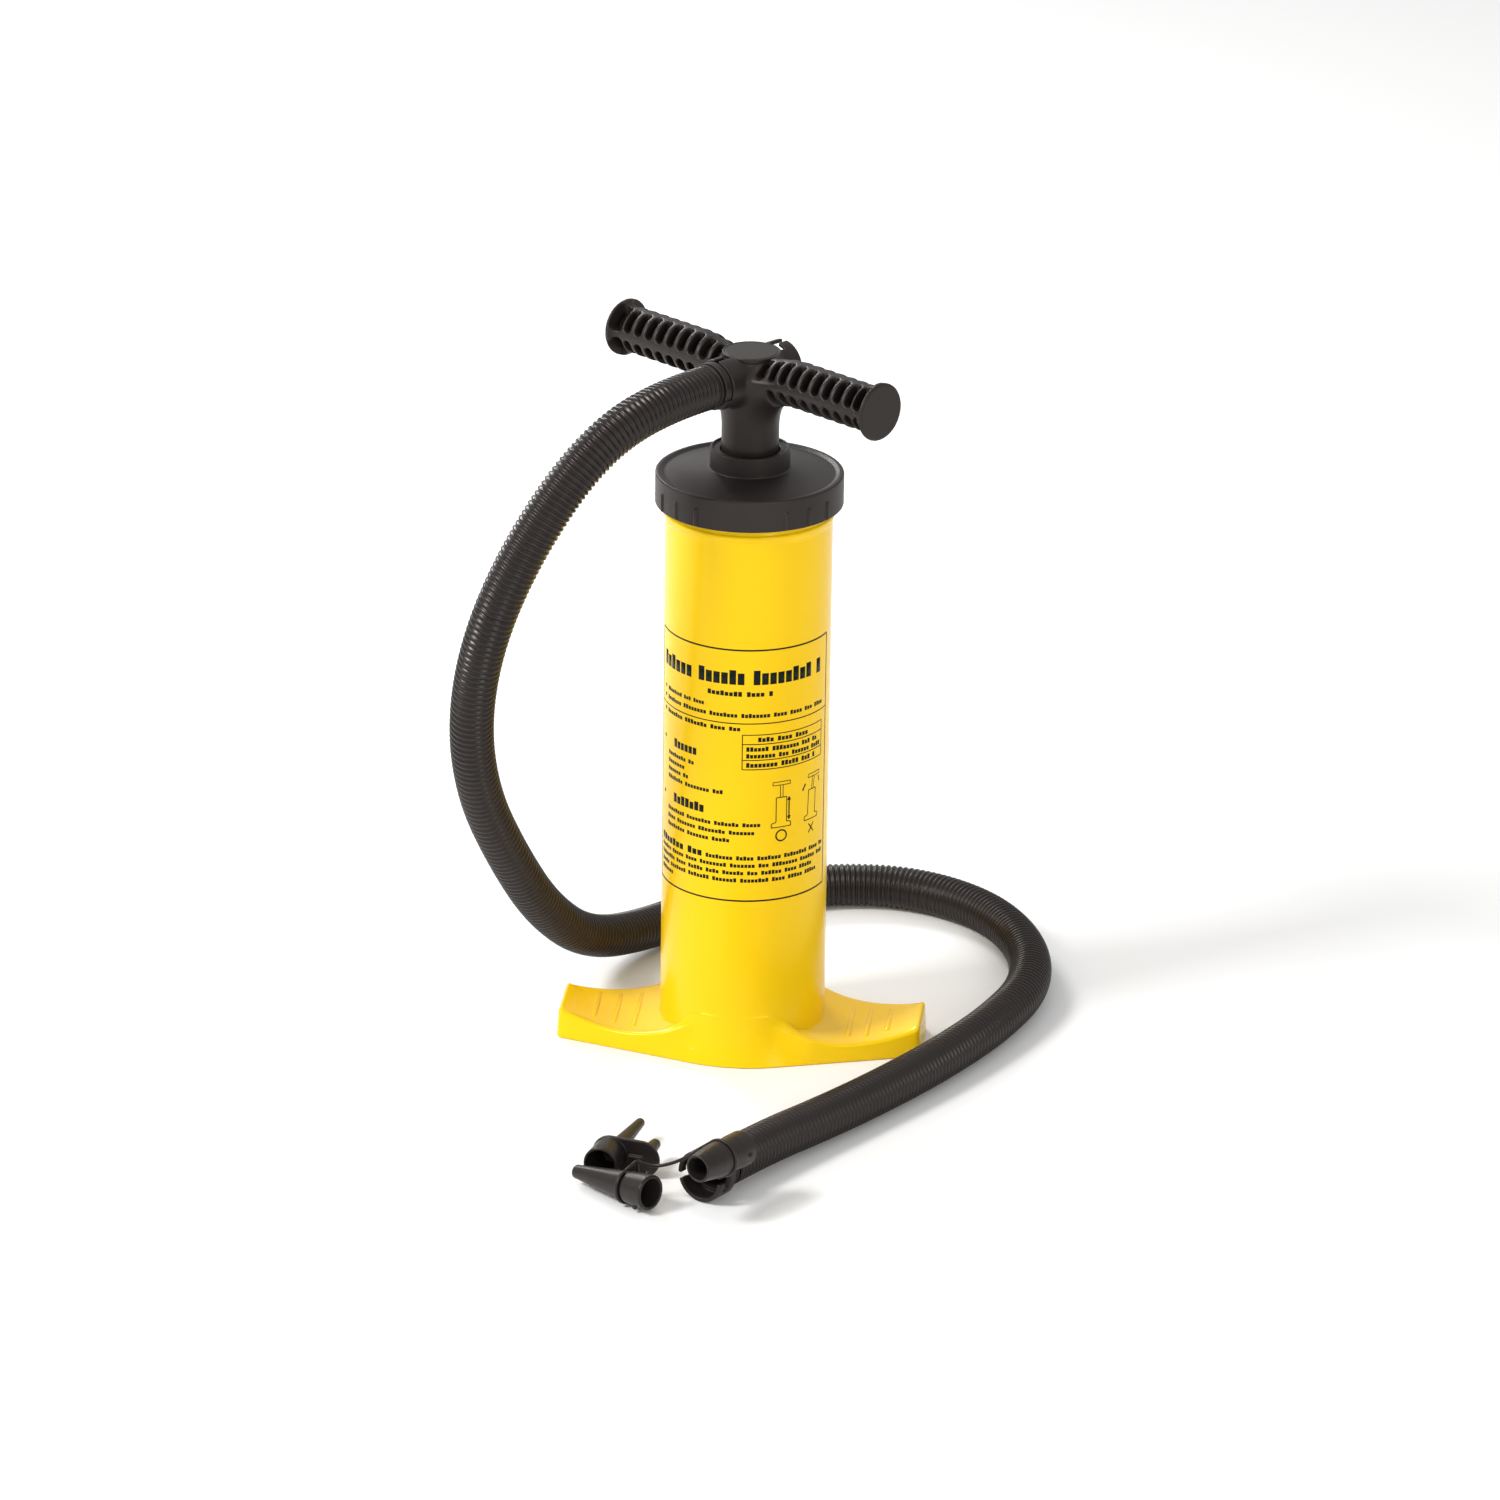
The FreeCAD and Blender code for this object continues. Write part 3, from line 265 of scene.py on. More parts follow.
def surface_net(value, low, step):
    """Quads on the zero surface of a block of distances, one point in each cell it crosses."""
    inside = value < 0
    shape = np.array(value.shape)
    cells = shape - 1
    total = np.zeros(tuple(cells) + (3,), np.float32)
    count = np.zeros(tuple(cells), np.float32)
    for axis in range(3):
        others = [a for a in range(3) if a != axis]
        for shift_a in (0, 1):
            for shift_b in (0, 1):
                start = [slice(0, cells[a]) for a in range(3)]
                start[others[0]] = slice(shift_a, cells[others[0]] + shift_a)
                start[others[1]] = slice(shift_b, cells[others[1]] + shift_b)
                stop = list(start)
                stop[axis] = slice(1, shape[axis])
                a, b = value[tuple(start)], value[tuple(stop)]
                crossed = inside[tuple(start)] != inside[tuple(stop)]
                share = np.where(crossed, a / np.where(crossed, a - b, 1), 0)
                total[..., axis] += share * crossed
                total[..., others[0]] += shift_a * crossed
                total[..., others[1]] += shift_b * crossed
                count += crossed
    used = count > 0
    index = np.full(tuple(cells), -1, np.int64)
    index[used] = np.arange(used.sum())
    where = np.argwhere(used)
    points = low + step * (where + total[used] / count[used][:, None])
    faces = []
    for axis in range(3):
        b_axis, c_axis = (axis + 1) % 3, (axis + 2) % 3
        first = [slice(1, shape[a] - 1) for a in range(3)]
        first[axis] = slice(0, shape[axis] - 1)
        second = list(first)
        second[axis] = slice(1, shape[axis])
        a, b = inside[tuple(first)], inside[tuple(second)]
        crossing = np.argwhere(a != b)
        flip = a[a != b]
        offset = np.ones(3, int)
        offset[axis] = 0
        base = crossing + offset
        corner = []
        for db, dc in ((1, 1), (0, 1), (0, 0), (1, 0)):
            cell = base.copy()
            cell[:, b_axis] -= db
            cell[:, c_axis] -= dc
            corner.append(index[tuple(cell.T)])
        quads = np.stack(corner, 1)
        quads[~flip] = quads[~flip][:, ::-1]
        faces.append(quads)
    return points, np.concatenate(faces).tolist()


# --- Materials -------------------------------------------------------------------------------

def plastic(name, color, darker, roughness, grain=900.0, dents=0.05, mottle=14.0, level=0.35,
            tint=(1.0, 0.9, 0.85)):
    """Moulded plastic: a slow drift between two shades, uneven gloss and a fine skin texture."""
    material = bpy.data.materials.new(name)
    material.use_nodes = True
    nodes, links = material.node_tree.nodes, material.node_tree.links
    shader = nodes["Principled BSDF"]
    shader.inputs["Specular IOR Level"].default_value = level
    shader.inputs["Specular Tint"].default_value = (*tint, 1)
    place = nodes.new("ShaderNodeTexCoord")
    drift = nodes.new("ShaderNodeTexNoise")
    drift.inputs["Scale"].default_value = mottle
    drift.inputs["Detail"].default_value = 4.0
    links.new(place.outputs["Object"], drift.inputs["Vector"])
    shades = nodes.new("ShaderNodeValToRGB")
    shades.color_ramp.elements[0].position = 0.32
    shades.color_ramp.elements[0].color = (*darker, 1)
    shades.color_ramp.elements[1].position = 0.68
    shades.color_ramp.elements[1].color = (*color, 1)
    links.new(drift.outputs["Fac"], shades.inputs["Fac"])
    links.new(shades.outputs["Color"], shader.inputs["Base Color"])
    gloss = nodes.new("ShaderNodeMapRange")
    gloss.inputs["To Min"].default_value = roughness * 0.85
    gloss.inputs["To Max"].default_value = roughness * 1.2
    links.new(drift.outputs["Fac"], gloss.inputs["Value"])
    links.new(gloss.outputs["Result"], shader.inputs["Roughness"])
    skin = nodes.new("ShaderNodeTexNoise")
    skin.inputs["Scale"].default_value = grain
    skin.inputs["Detail"].default_value = 3.0
    links.new(place.outputs["Object"], skin.inputs["Vector"])
    bump = nodes.new("ShaderNodeBump")
    bump.inputs["Strength"].default_value = dents
    bump.inputs["Distance"].default_value = 0.0004
    links.new(skin.outputs["Fac"], bump.inputs["Height"])
    links.new(bump.outputs["Normal"], shader.inputs["Normal"])
    return material


YELLOW = plastic("yellow_plastic", (0.93, 0.60, 0.006), (0.90, 0.555, 0.004), 0.24,
                 grain=500, dents=0.03, mottle=6, level=0.42, tint=(1.0, 0.82, 0.3))
BLACK = plastic("black_plastic", (0.0155, 0.0122, 0.0112), (0.0120, 0.0095, 0.0088), 0.44,
                grain=1400, dents=0.12)
CAP_BLACK = plastic("cap_plastic", (0.0185, 0.0145, 0.0135), (0.0140, 0.0112, 0.0105), 0.46,
                    grain=1400, dents=0.2)
HOSE_BLACK = plastic("hose_plastic", (0.0140, 0.0110, 0.0102), (0.0105, 0.0083, 0.0078), 0.30,
                     grain=1100, dents=0.08)
NOZZLE_BLACK = plastic("nozzle_plastic", (0.0145, 0.0115, 0.0106), (0.0110, 0.0088, 0.0082), 0.36,
                       grain=1300, dents=0.10)
INK = plastic("panel_ink", (0.003, 0.008, 0.004), (0.002, 0.006, 0.003), 0.35,
              grain=2000, dents=0.05, level=0.15)
RUBBER = plastic("seal_rubber", (0.022, 0.022, 0.022), (0.016, 0.016, 0.016), 0.65,
                 grain=1800, dents=0.2)
GREY = plastic("grey_plastic", (0.33, 0.33, 0.34), (0.28, 0.28, 0.29), 0.4, grain=1200, dents=0.06)
STEEL = plastic("zinc_steel", (0.62, 0.62, 0.64), (0.55, 0.55, 0.57), 0.3, grain=2500, dents=0.1)
STEEL.node_tree.nodes["Principled BSDF"].inputs["Metallic"].default_value = 1.0

NODE_MATERIALS = {
    RUBBER: ("cap_gasket", "rod_seal", "piston_ring_lower", "piston_ring_upper", "bump_stop",
             "connector_oring", "outlet_valve_down_stroke", "outlet_valve_up_stroke",
             "inlet_valve_down_stroke", "inlet_valve_up_stroke"),
    GREY: ("rod_tube", "inner_tube", "rod_foot_plug", "piston_lower", "piston_upper", "rod_bush",
           "seal_retainer", "valve_plate"),
    STEEL: ("piston_screws",),
}
for material, node_names in NODE_MATERIALS.items():
    for node_name in node_names:
        slots = frame["nodes"][node_name].data.materials
        slots.clear()
        slots.append(material)


# --- Barrel and foot -------------------------------------------------------------------------

FOOT_TIP = (116.8, 22.9)
FOOT_APEX = 61.64
FOOT_BULGE_RADIUS = 86.0
FOOT_CORNER_RADIUS = 5.0


def smooth_step(value, start, stop):
    """A share that eases from 0 at start to 1 at stop."""
    share = np.clip((value - start) / (stop - start), 0, 1)
    return share * share * (3 - 2 * share)


def foot_outline(count):
    """Points evenly round the foot's edge, and the outward direction at each."""
    x, y = FOOT_TIP
    corners = [(x, -y, FOOT_CORNER_RADIUS), (x, y, FOOT_CORNER_RADIUS),
               (0, FOOT_APEX, FOOT_BULGE_RADIUS), (-x, y, FOOT_CORNER_RADIUS),
               (-x, -y, FOOT_CORNER_RADIUS), (0, -FOOT_APEX, FOOT_BULGE_RADIUS)]
    loop = np.array(rounded(corners, 24))
    loop = np.vstack([loop, loop[:1]])
    lengths = np.concatenate([[0], np.cumsum(np.linalg.norm(np.diff(loop, axis=0), axis=1))])
    stations = np.linspace(0, lengths[-1], count, endpoint=False)
    points = np.stack([np.interp(stations, lengths, loop[:, i]) for i in range(2)], 1)
    tangent = np.roll(points, -1, 0) - np.roll(points, 1, 0)
    tangent /= np.linalg.norm(tangent, axis=1)[:, None]
    outward = np.stack([tangent[:, 1], -tangent[:, 0]], 1)
    return points, outward


def wing_edge_height(x):
    """The foot's upper edge: full height at the tips, scooped, then rising to the barrel's front."""
    far = 12.0 + 7.6 * np.clip((np.abs(x) - 76.0) / 40.8, 0, 1) ** 2
    near = 3.5 * np.clip((76.0 - np.abs(x)) / 23.5, 0, 2.05) ** 2
    return far + near


APRON_TOP = 33.0
RIB_RADIUS = 1.9
LIP_PROUD = 0.5
EDGE_ROUNDING = 2.6
WALL_DRAFT = 0.9
THREAD_PITCH = 4.0
THREAD_RADIUS = 54.4


def dip_behind_lip(plan, share):
    """How far the tread lies under the rounded lip along its front and outer edge."""
    back = smooth_step(plan[:, 1], 0.0, 24.0)
    return LIP_PROUD * (1 - back) * (1 - math.exp(-8.0 * share))


def make_barrel():
    """One skin: up the foot's wall, over its scooped top, up the barrel, and down its bore."""
    edge, outward = foot_outline(420)
    columns = len(edge)
    compass = np.arctan2(edge[:, 1], edge[:, 0])
    circle = np.stack([np.cos(compass), np.sin(compass)], 1)
    foot_of_barrel = circle * BARREL_RADIUS
    gap = np.linalg.norm(edge, axis=1) - BARREL_RADIUS
    front = smooth_step(-np.abs(edge[:, 0]), -50.0, -25.0)
    height = wing_edge_height(edge[:, 0])
    rows = []

    def add_row(plan, z):
        rows.append(np.column_stack([plan, np.broadcast_to(z, columns)]))

    def add_mixed(plan, z):
        """A row of the wings that leans into the barrel as a smooth apron towards the front."""
        lean = np.clip(1 - z / APRON_TOP, 0, 1) ** 2.1
        apron = circle * (BARREL_RADIUS + gap * lean)[:, None]
        add_row(plan * (1 - front[:, None]) + apron * front[:, None], z)

    under = edge - outward * 3.0
    inner_wall = circle * np.minimum(np.linalg.norm(under, axis=1), 47.0)[:, None]
    add_row(inner_wall * 0.05, 16.0)
    add_row(inner_wall, 16.0)
    add_row(inner_wall, 9.5)
    add_row(under, 9.0)
    add_row(under, 0.8)
    add_row(edge - outward * 2.4, 0.0)
    add_row(edge - outward * 0.7, 0.0)
    add_mixed(edge - outward * 0.2, np.full(columns, 0.3))
    add_mixed(edge, np.full(columns, 0.9))
    for step in range(1, 7):
        share = step / 6
        wall_height = (height - EDGE_ROUNDING) * share + 0.9 * (1 - share)
        add_mixed(edge - outward * WALL_DRAFT * share, wall_height)
    for step in range(1, 8):
        angle = math.pi / 2 * step / 7
        inset = WALL_DRAFT + EDGE_ROUNDING * (1 - math.cos(angle))
        add_mixed(edge - outward * inset, height - EDGE_ROUNDING * (1 - math.sin(angle)))
    rim = edge - outward * (WALL_DRAFT + EDGE_ROUNDING)
    steps = 14
    for step in range(1, steps + 1):
        share = 0.985 * step / steps
        plan = rim * (1 - share) + foot_of_barrel * share
        level = wing_edge_height(plan[:, 0]) - dip_behind_lip(plan, share)
        rise = height + (APRON_TOP - height) * share
        add_mixed(plan, level * (1 - front) + rise * front)
    crease = rows[-1][:, 2]
    fillet = 1.6
    for share in (0.35, 0.7, 1.0):
        lift = fillet * (1 - math.sqrt(1 - share ** 2)) * (1 - front)
        push = 0.012 * (1 - share) * (1 - front)
        add_row(foot_of_barrel * (1 + push)[:, None], crease + lift)
    top = rows[-1][:, 2]
    for share in (0.15, 0.4, 1.0):
        add_row(foot_of_barrel, top * (1 - share) + 42.0 * share)
    lip_low, lip_high, lip_radius = 354.0, 357.6, 53.7
    ladder = [(BARREL_RADIUS, 60), (BARREL_RADIUS, 120), (BARREL_RADIUS, 180),
              (BARREL_RADIUS, 240), (BARREL_RADIUS, 300), (BARREL_RADIUS, 350),
              (BARREL_RADIUS, lip_low - 0.2), (BARREL_RADIUS + 0.25, lip_low),
              (lip_radius - 0.3, lip_low + 0.4), (lip_radius, lip_low + 0.9),
              (lip_radius, lip_high - 0.9), (lip_radius - 0.3, lip_high - 0.4),
              (BARREL_RADIUS + 0.25, lip_high), (BARREL_RADIUS, lip_high + 0.2)]
    for thread in range(3):
        low = 364.0 + THREAD_PITCH * thread
        ladder += [(BARREL_RADIUS, low), (THREAD_RADIUS, low + 0.3),
                   (THREAD_RADIUS, low + 1.3), (BARREL_RADIUS, low + 1.6)]
    ladder += [(BARREL_RADIUS, 375.6), (BARREL_RADIUS - 0.4, 376.0), (BORE_RADIUS + 0.4, 376.0),
               (BORE_RADIUS, 375.6), (BORE_RADIUS, 300), (BORE_RADIUS, 100), (BORE_RADIUS, 23),
               (BORE_RADIUS - 1, 22), (2.0, 22)]
    for radius, z in ladder:
        add_row(circle * radius, z)
    points = np.vstack(rows)
    faces = ring_faces(len(rows), columns)
    last = (len(rows) - 1) * columns
    faces.append(list(range(columns))[::-1])
    faces.append([last + column for column in range(columns)])
    barrel = add_mesh("barrel_and_foot", points, faces, YELLOW)
    return joined("barrel_and_foot", [barrel] + tread_ribs())


def capsule(start, end, radius, sides=12, material=None):
    """A rod with round ends between two points."""
    outline = []
    length = (Vector(end) - Vector(start)).length
    for step in range(5):
        angle = math.pi / 2 * step / 4
        outline.append((max(radius * math.sin(angle), 0.01), -radius * math.cos(angle)))
    for step in range(5):
        angle = math.pi / 2 * step / 4
        outline.append((max(radius * math.cos(angle), 0.01), length + radius * math.sin(angle)))
    points = transform(lathe_points(outline, sides), aimed(start, end))
    faces = ring_faces(len(outline), sides)
    faces.append(list(range(sides))[::-1])
    faces.append([(len(outline) - 1) * sides + side for side in range(sides)])
    return add_mesh("capsule", points, faces, material)


def tread_ribs():
    """Three low ridges from front to back on each wing."""
    ribs = []
    for x, front, back in ((-94.0, -17.0, 25.0), (-80.4, -23.0, 26.0), (-67.0, -28.0, 29.0),
                           (70.0, -25.0, 25.0), (81.5, -23.0, 24.0), (94.5, -16.0, 23.0)):
        level = float(wing_edge_height(x)) - RIB_RADIUS + 0.45
        ribs.append(capsule((x, front + 3, level), (x, back - 3, level), RIB_RADIUS, 20, YELLOW))
    return ribs


barrel = make_barrel()
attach(barrel, "barrel")
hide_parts("barrel_moulding")


# --- Printed panel, with plain bars for its text ---------------------------------------------

INK_RADIUS = BARREL_RADIUS + 0.06


def wrapped(corners_deg):
    """Points on the barrel from (azimuth in degrees, height) pairs."""
    points = []
    for azimuth, z in corners_deg:
        angle = math.radians(azimuth)
        points.append((INK_RADIUS * math.cos(angle), INK_RADIUS * math.sin(angle), z))
    return points


class Panel:
    """Ink patches that follow the barrel's surface."""

    def __init__(self):
        self.points = []
        self.faces = []

    def patch(self, left, right, low, high):
        """A rectangle between two azimuths and two heights."""
        steps = max(1, int(abs(right - left) / 1.5))
        base = len(self.points)
        for step in range(steps + 1):
            azimuth = left + (right - left) * step / steps
            self.points += wrapped([(azimuth, low), (azimuth, high)])
        for step in range(steps):
            corner = base + 2 * step
            self.faces.append((corner, corner + 2, corner + 3, corner + 1))

    def line(self, start, end, width=0.55):
        """A straight stroke between two (azimuth, height) points."""
        degree = math.radians(1) * INK_RADIUS
        dx, dz = (end[0] - start[0]) * degree, end[1] - start[1]
        length = math.hypot(dx, dz)
        nx, nz = -dz / length * width / 2, dx / length * width / 2
        steps = max(1, int(abs(end[0] - start[0]) / 1.5))
        base = len(self.points)
        for step in range(steps + 1):
            share = step / steps
            azimuth = start[0] + (end[0] - start[0]) * share
            z = start[1] + dz * share
            self.points += wrapped([(azimuth - nx / degree, z - nz), (azimuth + nx / degree, z + nz)])
        for step in range(steps):
            corner = base + 2 * step
            self.faces.append((corner, corner + 2, corner + 3, corner + 1))

    def outline(self, points, width=0.55):
        """Strokes from point to point."""
        for start, end in zip(points, points[1:]):
            self.line(start, end, width)

    def ring(self, azimuth, z, radius, width=0.9):
        """A ring, or a dot when its width is more than its radius."""
        degree = math.radians(1) * INK_RADIUS
        base = len(self.points)
        count = 32
        for step in range(count):
            angle = 2 * math.pi * step / count
            for reach in (radius - width / 2, radius + width / 2):
                self.points += wrapped([(azimuth + reach * math.cos(angle) / degree,
                                         z + reach * math.sin(angle))])
        for step in range(count):
            a, b = base + 2 * step, base + 2 * ((step + 1) % count)
            self.faces.append((a, a + 1, b + 1, b))

    def words(self, left, right, low, high, letters, seed):
        """A row of plain bars that fills a line of text's place: words as runs of short blocks."""
        chooser = np.random.default_rng(seed)
        step = (right - left) / letters
        azimuth = left
        run = 0
        longest = int(chooser.integers(4, 9))
        while azimuth < right - 0.5 * step:
            if run >= longest:
                azimuth += step * 0.9
                run = 0
                longest = int(chooser.integers(3, 9))
                continue
            tall = (high - low) * (1.0 if run == 0 or chooser.random() < 0.25 else 0.8)
            self.patch(azimuth, azimuth + step * 0.8, low, low + tall)
            azimuth += step
            run += 1


def make_panel():
    """A frame in two parts, with bars where the title, the headings and the text are."""
    panel = Panel()
    left, right, low, high, divider = -166.0, -14.0, 113.2, 282.0, 233.0
    middle = (left + right) / 2
    frame_width = 1.0
    for z, width in ((low, 1.1), (high, 1.1), (divider, 0.7)):
        panel.patch(left, right, z - width / 2, z + width / 2)
    for azimuth in (left, right):
        panel.line((azimuth, low), (azimuth, high), frame_width)
    panel.words(left + 7, right - 7, 259.0, 268.6, 24, 1)
    panel.words(middle - 22, middle + 25, 251.2, 254.4, 15, 2)
    panel.words(-153, -114, 243.0, 245.6, 17, 3)
    panel.words(-153, -21, 237.0, 239.8, 52, 4)
    panel.words(-153, -87, 228.0, 230.8, 24, 5)
    for z in (244.4, 238.4, 229.4, 210.8, 173.4):
        panel.ring(-157.5, z, 0.7, 1.2)
    panel.words(-143, -116, 207.6, 213.4, 7, 6)
    for number, stop in enumerate((-122, -131, -127, -99)):
        z = 200.6 - 5.3 * number
        panel.words(-151, stop, z, z + 2.7, max(7, int((stop + 151) / 2.6)), 7 + number)
    panel.words(-143, -109, 170.4, 176.4, 8, 12)
    for number, stop in enumerate((-70, -74, -94)):
        z = 163.4 - 5.4 * number
        panel.words(-151, stop, z, z + 2.7, int((stop + 151) / 2.5), 13 + number)
    panel.words(-161, -114, 140.6, 145.2, 11, 17)
    panel.words(-112, -18, 140.8, 143.6, 38, 18)
    for number, stop in enumerate((-18, -31, -26, -140)):
        z = 135.8 - 5.0 * number
        panel.words(-161, stop, z, z + 2.7, max(7, int((stop + 161) / 2.5)), 19 + number)
    draw_table(panel)
    draw_pictograms(panel)
    obj = add_mesh("printed_panel", panel.points, panel.faces, INK)
    thick = obj.modifiers.new("ink_thickness", "SOLIDIFY")
    thick.thickness = 0.05 * MM
    thick.offset = -1.0
    return obj


def draw_table(panel):
    """A small ruled box with four lines of bars."""
    left, right = -86.8, -20.7
    for z in (225.5, 219.2, 208.5, 202.2):
        panel.patch(left, right, z - 0.3, z + 0.3)
    for azimuth in (left, right):
        panel.line((azimuth, 202.2), (azimuth, 225.5), 0.6)
    panel.words(-76, -36, 220.7, 223.8, 14, 30)
    panel.words(-84, -26, 214.4, 217.4, 22, 31)
    panel.words(-84, -22, 209.8, 212.8, 24, 32)
    panel.words(-84, -28, 203.6, 206.8, 20, 33)


def draw_pictograms(panel):
    """A pump worked straight up and down, marked with a ring, and one worked askew, crossed."""
    for middle, lean, width in ((-58.5, 0.0, 1.0), (-32.0, 3.0, 0.96)):
        def at(across, z):
            share = max(0.0, (z - 178.0) / 15.0)
            return (middle + across * width + lean * share, z)
        panel.outline([at(-4.0, 182), at(-4.0, 165.5), at(-7.4, 164.6), at(-7.4, 162), at(7.4, 162),
                       at(7.4, 164.6), at(4.0, 165.5), at(4.0, 182), at(-4.0, 182)], 0.6)
        panel.outline([at(-1.0, 182), at(-1.0, 190.4)], 0.5)
        panel.outline([at(1.0, 182), at(1.0, 190.4)], 0.5)
        panel.outline([at(-6.6, 190.4), at(6.6, 190.4), at(6.6, 192.6), at(-6.6, 192.6),
                       at(-6.6, 190.4)], 0.5)
    panel.line((-52.6, 168), (-52.6, 180), 0.9)
    for tip, tail in ((181.5, 179.2), (166.5, 168.8)):
        panel.line((-52.6, tip), (-53.6, tail), 0.8)
        panel.line((-52.6, tip), (-51.6, tail), 0.8)
    panel.line((-41.0, 183), (-38.4, 187), 1.2)
    panel.line((-24.0, 189), (-22.6, 185), 0.8)
    panel.ring(-58.4, 156.2, 3.6, 1.0)
    panel.line((-34.6, 153), (-29.4, 159), 0.9)
    panel.line((-34.6, 159), (-29.4, 153), 0.9)


printed_panel = make_panel()
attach(printed_panel, "barrel")


# --- Screw cap -------------------------------------------------------------------------------

def make_cap():
    """A dished cap with a rim, a raised collar round the stem, and four groups of side ribs."""
    low, high = CAP_LOW[2], CAP_HIGH[2]
    body = lathe("screw_cap_body", [
        (55.0, low, 0.3), (CAP_RADIUS, low, 0.6), (CAP_RADIUS, high - 15.9, 2.2),
        (56.2, high - 15.9, 1.2), (53.6, high - 17.2, 2.0), (25.2, high - 12.9, 1.0),
        (25.0, high, 1.2), (23.4, high, 0.5), (23.2, high - 1.2, 0.3), (18.7, high - 1.2, 0.6),
        (18.7, high - 4.0, 0.3), (21.5, high - 4.4, 0.3), (21.5, high - 15.4, 0.3),
        (20.0, high - 15.4, 0.2), (20.0, high - 20.4, 0.2), (55.0, high - 20.4, 0.4),
    ], CAP_BLACK, 192)
    pieces = [body]
    for group in range(4):
        for place in (-1, 0, 1):
            angle = math.radians(45 + 90 * group + place * 16.2)
            reach = CAP_RADIUS - 0.6
            x, y = reach * math.cos(angle), reach * math.sin(angle)
            pieces.append(capsule((x, y, low + 1.7), (x, y, low + 11.0), 1.6, 16, CAP_BLACK))
    return joined("cap_shell", pieces)


cap = make_cap()
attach(cap, "barrel")
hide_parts("screw_cap")


# --- Handle ----------------------------------------------------------------------------------

GRIP_HEIGHT = 449.4
GRIP_LENGTH = 112.2
GRIP_RADIUS = 14.75
FLANGE_RADIUS = 18.3
POCKET_PITCH = 9.45
POCKET_FIRST = 20.75
POCKET_HALF_WIDTH = 3.1
POCKET_FLOOR = 7.0


def make_handle():
    """One moulding: stem and hub, two grips with rows of oval pockets, and two air ports."""
    low, high = HANDLE_LOW[2], HANDLE_HIGH[2]
    field = Field((-GRIP_LENGTH - 2, -33.5, low - 2), (GRIP_LENGTH + 2, 33.5, high + 4), 0.64)
    x, y, z = field.x, field.y, field.z
    reach = np.abs(x)
    hub_share = 1 - smooth_step(reach, 17.0, 42.0)
    flare = np.clip((reach - 102.5) / 6.6, 0, 1)
    radius = GRIP_RADIUS - 2.2 * hub_share + (FLANGE_RADIUS - GRIP_RADIUS) * flare ** 2.0
    drop = 1.2 * hub_share
    up = z - GRIP_HEIGHT + drop
    grips = sd_rod(y, up, -GRIP_LENGTH, GRIP_LENGTH, x, radius, 1.5)
    stem = sd_rod(x, y, low, 458.8, z, 18.0, 0.5)
    field.add(stem)
    field.add(grips, 3.0 + 23.0 * np.exp(-(np.maximum(up, 0) / 5.5) ** 2))
    ports = sd_rod(x, z - PORT_HEIGHT, -31.0, 29.4, y, 16.0, 0.5)
    field.add(ports, 3.0)
    cut_pockets(field, reach, y, up)
    cut_ports(field, x, y, z)
    cover_room = sd_rod(x, y, 458.8, 480.0, z, 18.55)
    field.cut(cover_room, 0.6)
    field.cut(sd_rod(x, y, low - 9, 416.0, z, 15.2))
    field.cut(sd_rod(x, y, 410.0, 456.2, z, 12.0))
    divider = sd_box(x, y, z - 443.0, (13.0, 0.8, 13.0))
    field.add(divider)
    turn = Matrix.Rotation(math.radians(GRIP_ANGLE), 4, "Z")
    return field.mesh("handle_moulding", BLACK, turn)


def cut_pockets(field, reach, y, up):
    """Four rows of oval pockets round both grips: ten above, nine below, the outermost larger."""
    out = np.sqrt(y ** 2 + up ** 2)
    first_row = np.where(up < 0, 1, 0)
    quadrant = np.abs(np.arctan2(np.abs(up), np.abs(y)) - math.pi / 4)
    arc = quadrant * GRIP_RADIUS
    number = np.clip(np.round((reach - POCKET_FIRST) / POCKET_PITCH), first_row, 8)
    offset = reach - POCKET_FIRST - POCKET_PITCH * number
    half_arc = 8.9
    oval = np.sqrt(offset ** 2 + np.maximum(arc - half_arc + POCKET_HALF_WIDTH, 0) ** 2)
    small = np.maximum(oval - POCKET_HALF_WIDTH, POCKET_FLOOR - out)
    outer_middle, outer_half = 105.4, 3.6
    wide = np.abs(reach - outer_middle) - 0.9
    long_oval = np.sqrt(np.maximum(wide, 0) ** 2
                        + np.maximum(arc - half_arc - 0.5 + outer_half, 0) ** 2)
    large = np.maximum(long_oval - outer_half, POCKET_FLOOR - out)
    field.cut(np.minimum(small, large), 0.9)


def cut_ports(field, x, y, z):
    """The two bores, and the hooked bayonet slot in the top of each."""
    rise = z - PORT_HEIGHT
    for side in (1, -1):
        along_port = y * side
        field.cut(sd_rod(x, rise, 18.6, 40.0, along_port, 13.5), 0.5)
        field.cut(sd_rod(x, rise, 1.0, 30.0, along_port, 12.0))
        slot = sd_box(x, along_port - 26.0, rise - 14.0, (1.9, 9.0, 5.0), 0.6)
        hook = sd_box(x - side * 3.0, along_port - 19.4, rise - 14.0, (4.9, 2.3, 5.0), 1.6)
        field.cut(np.minimum(slot, hook), 0.5)


handle = make_handle()
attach(handle, "rod")
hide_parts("handle")


def make_cover():
    """A plain disc in the hub's top, with a shallow groove near its edge."""
    low, high = COVER_LOW[2], COVER_HIGH[2]
    disc = lathe("cover_disc", [
        (0.02, low, 0), (0.6, low, 0), (15.0, low, 0), (15.2, low, 0.3), (15.2, 458.85, 0.2),
        (18.3, 458.85, 0.3), (18.3, high, 0.5), (17.3, high, 0.15), (17.1, high - 0.3, 0.15),
        (16.3, high - 0.3, 0.15), (16.1, high, 0.15), (15.0, high, 0), (8.0, high, 0),
        (0.6, high, 0), (0.02, high, 0),
    ], BLACK, 128)
    return disc


cover = make_cover()
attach(cover, "rod")
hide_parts("hub_cover")


# --- Hose ------------------------------------------------------------------------------------

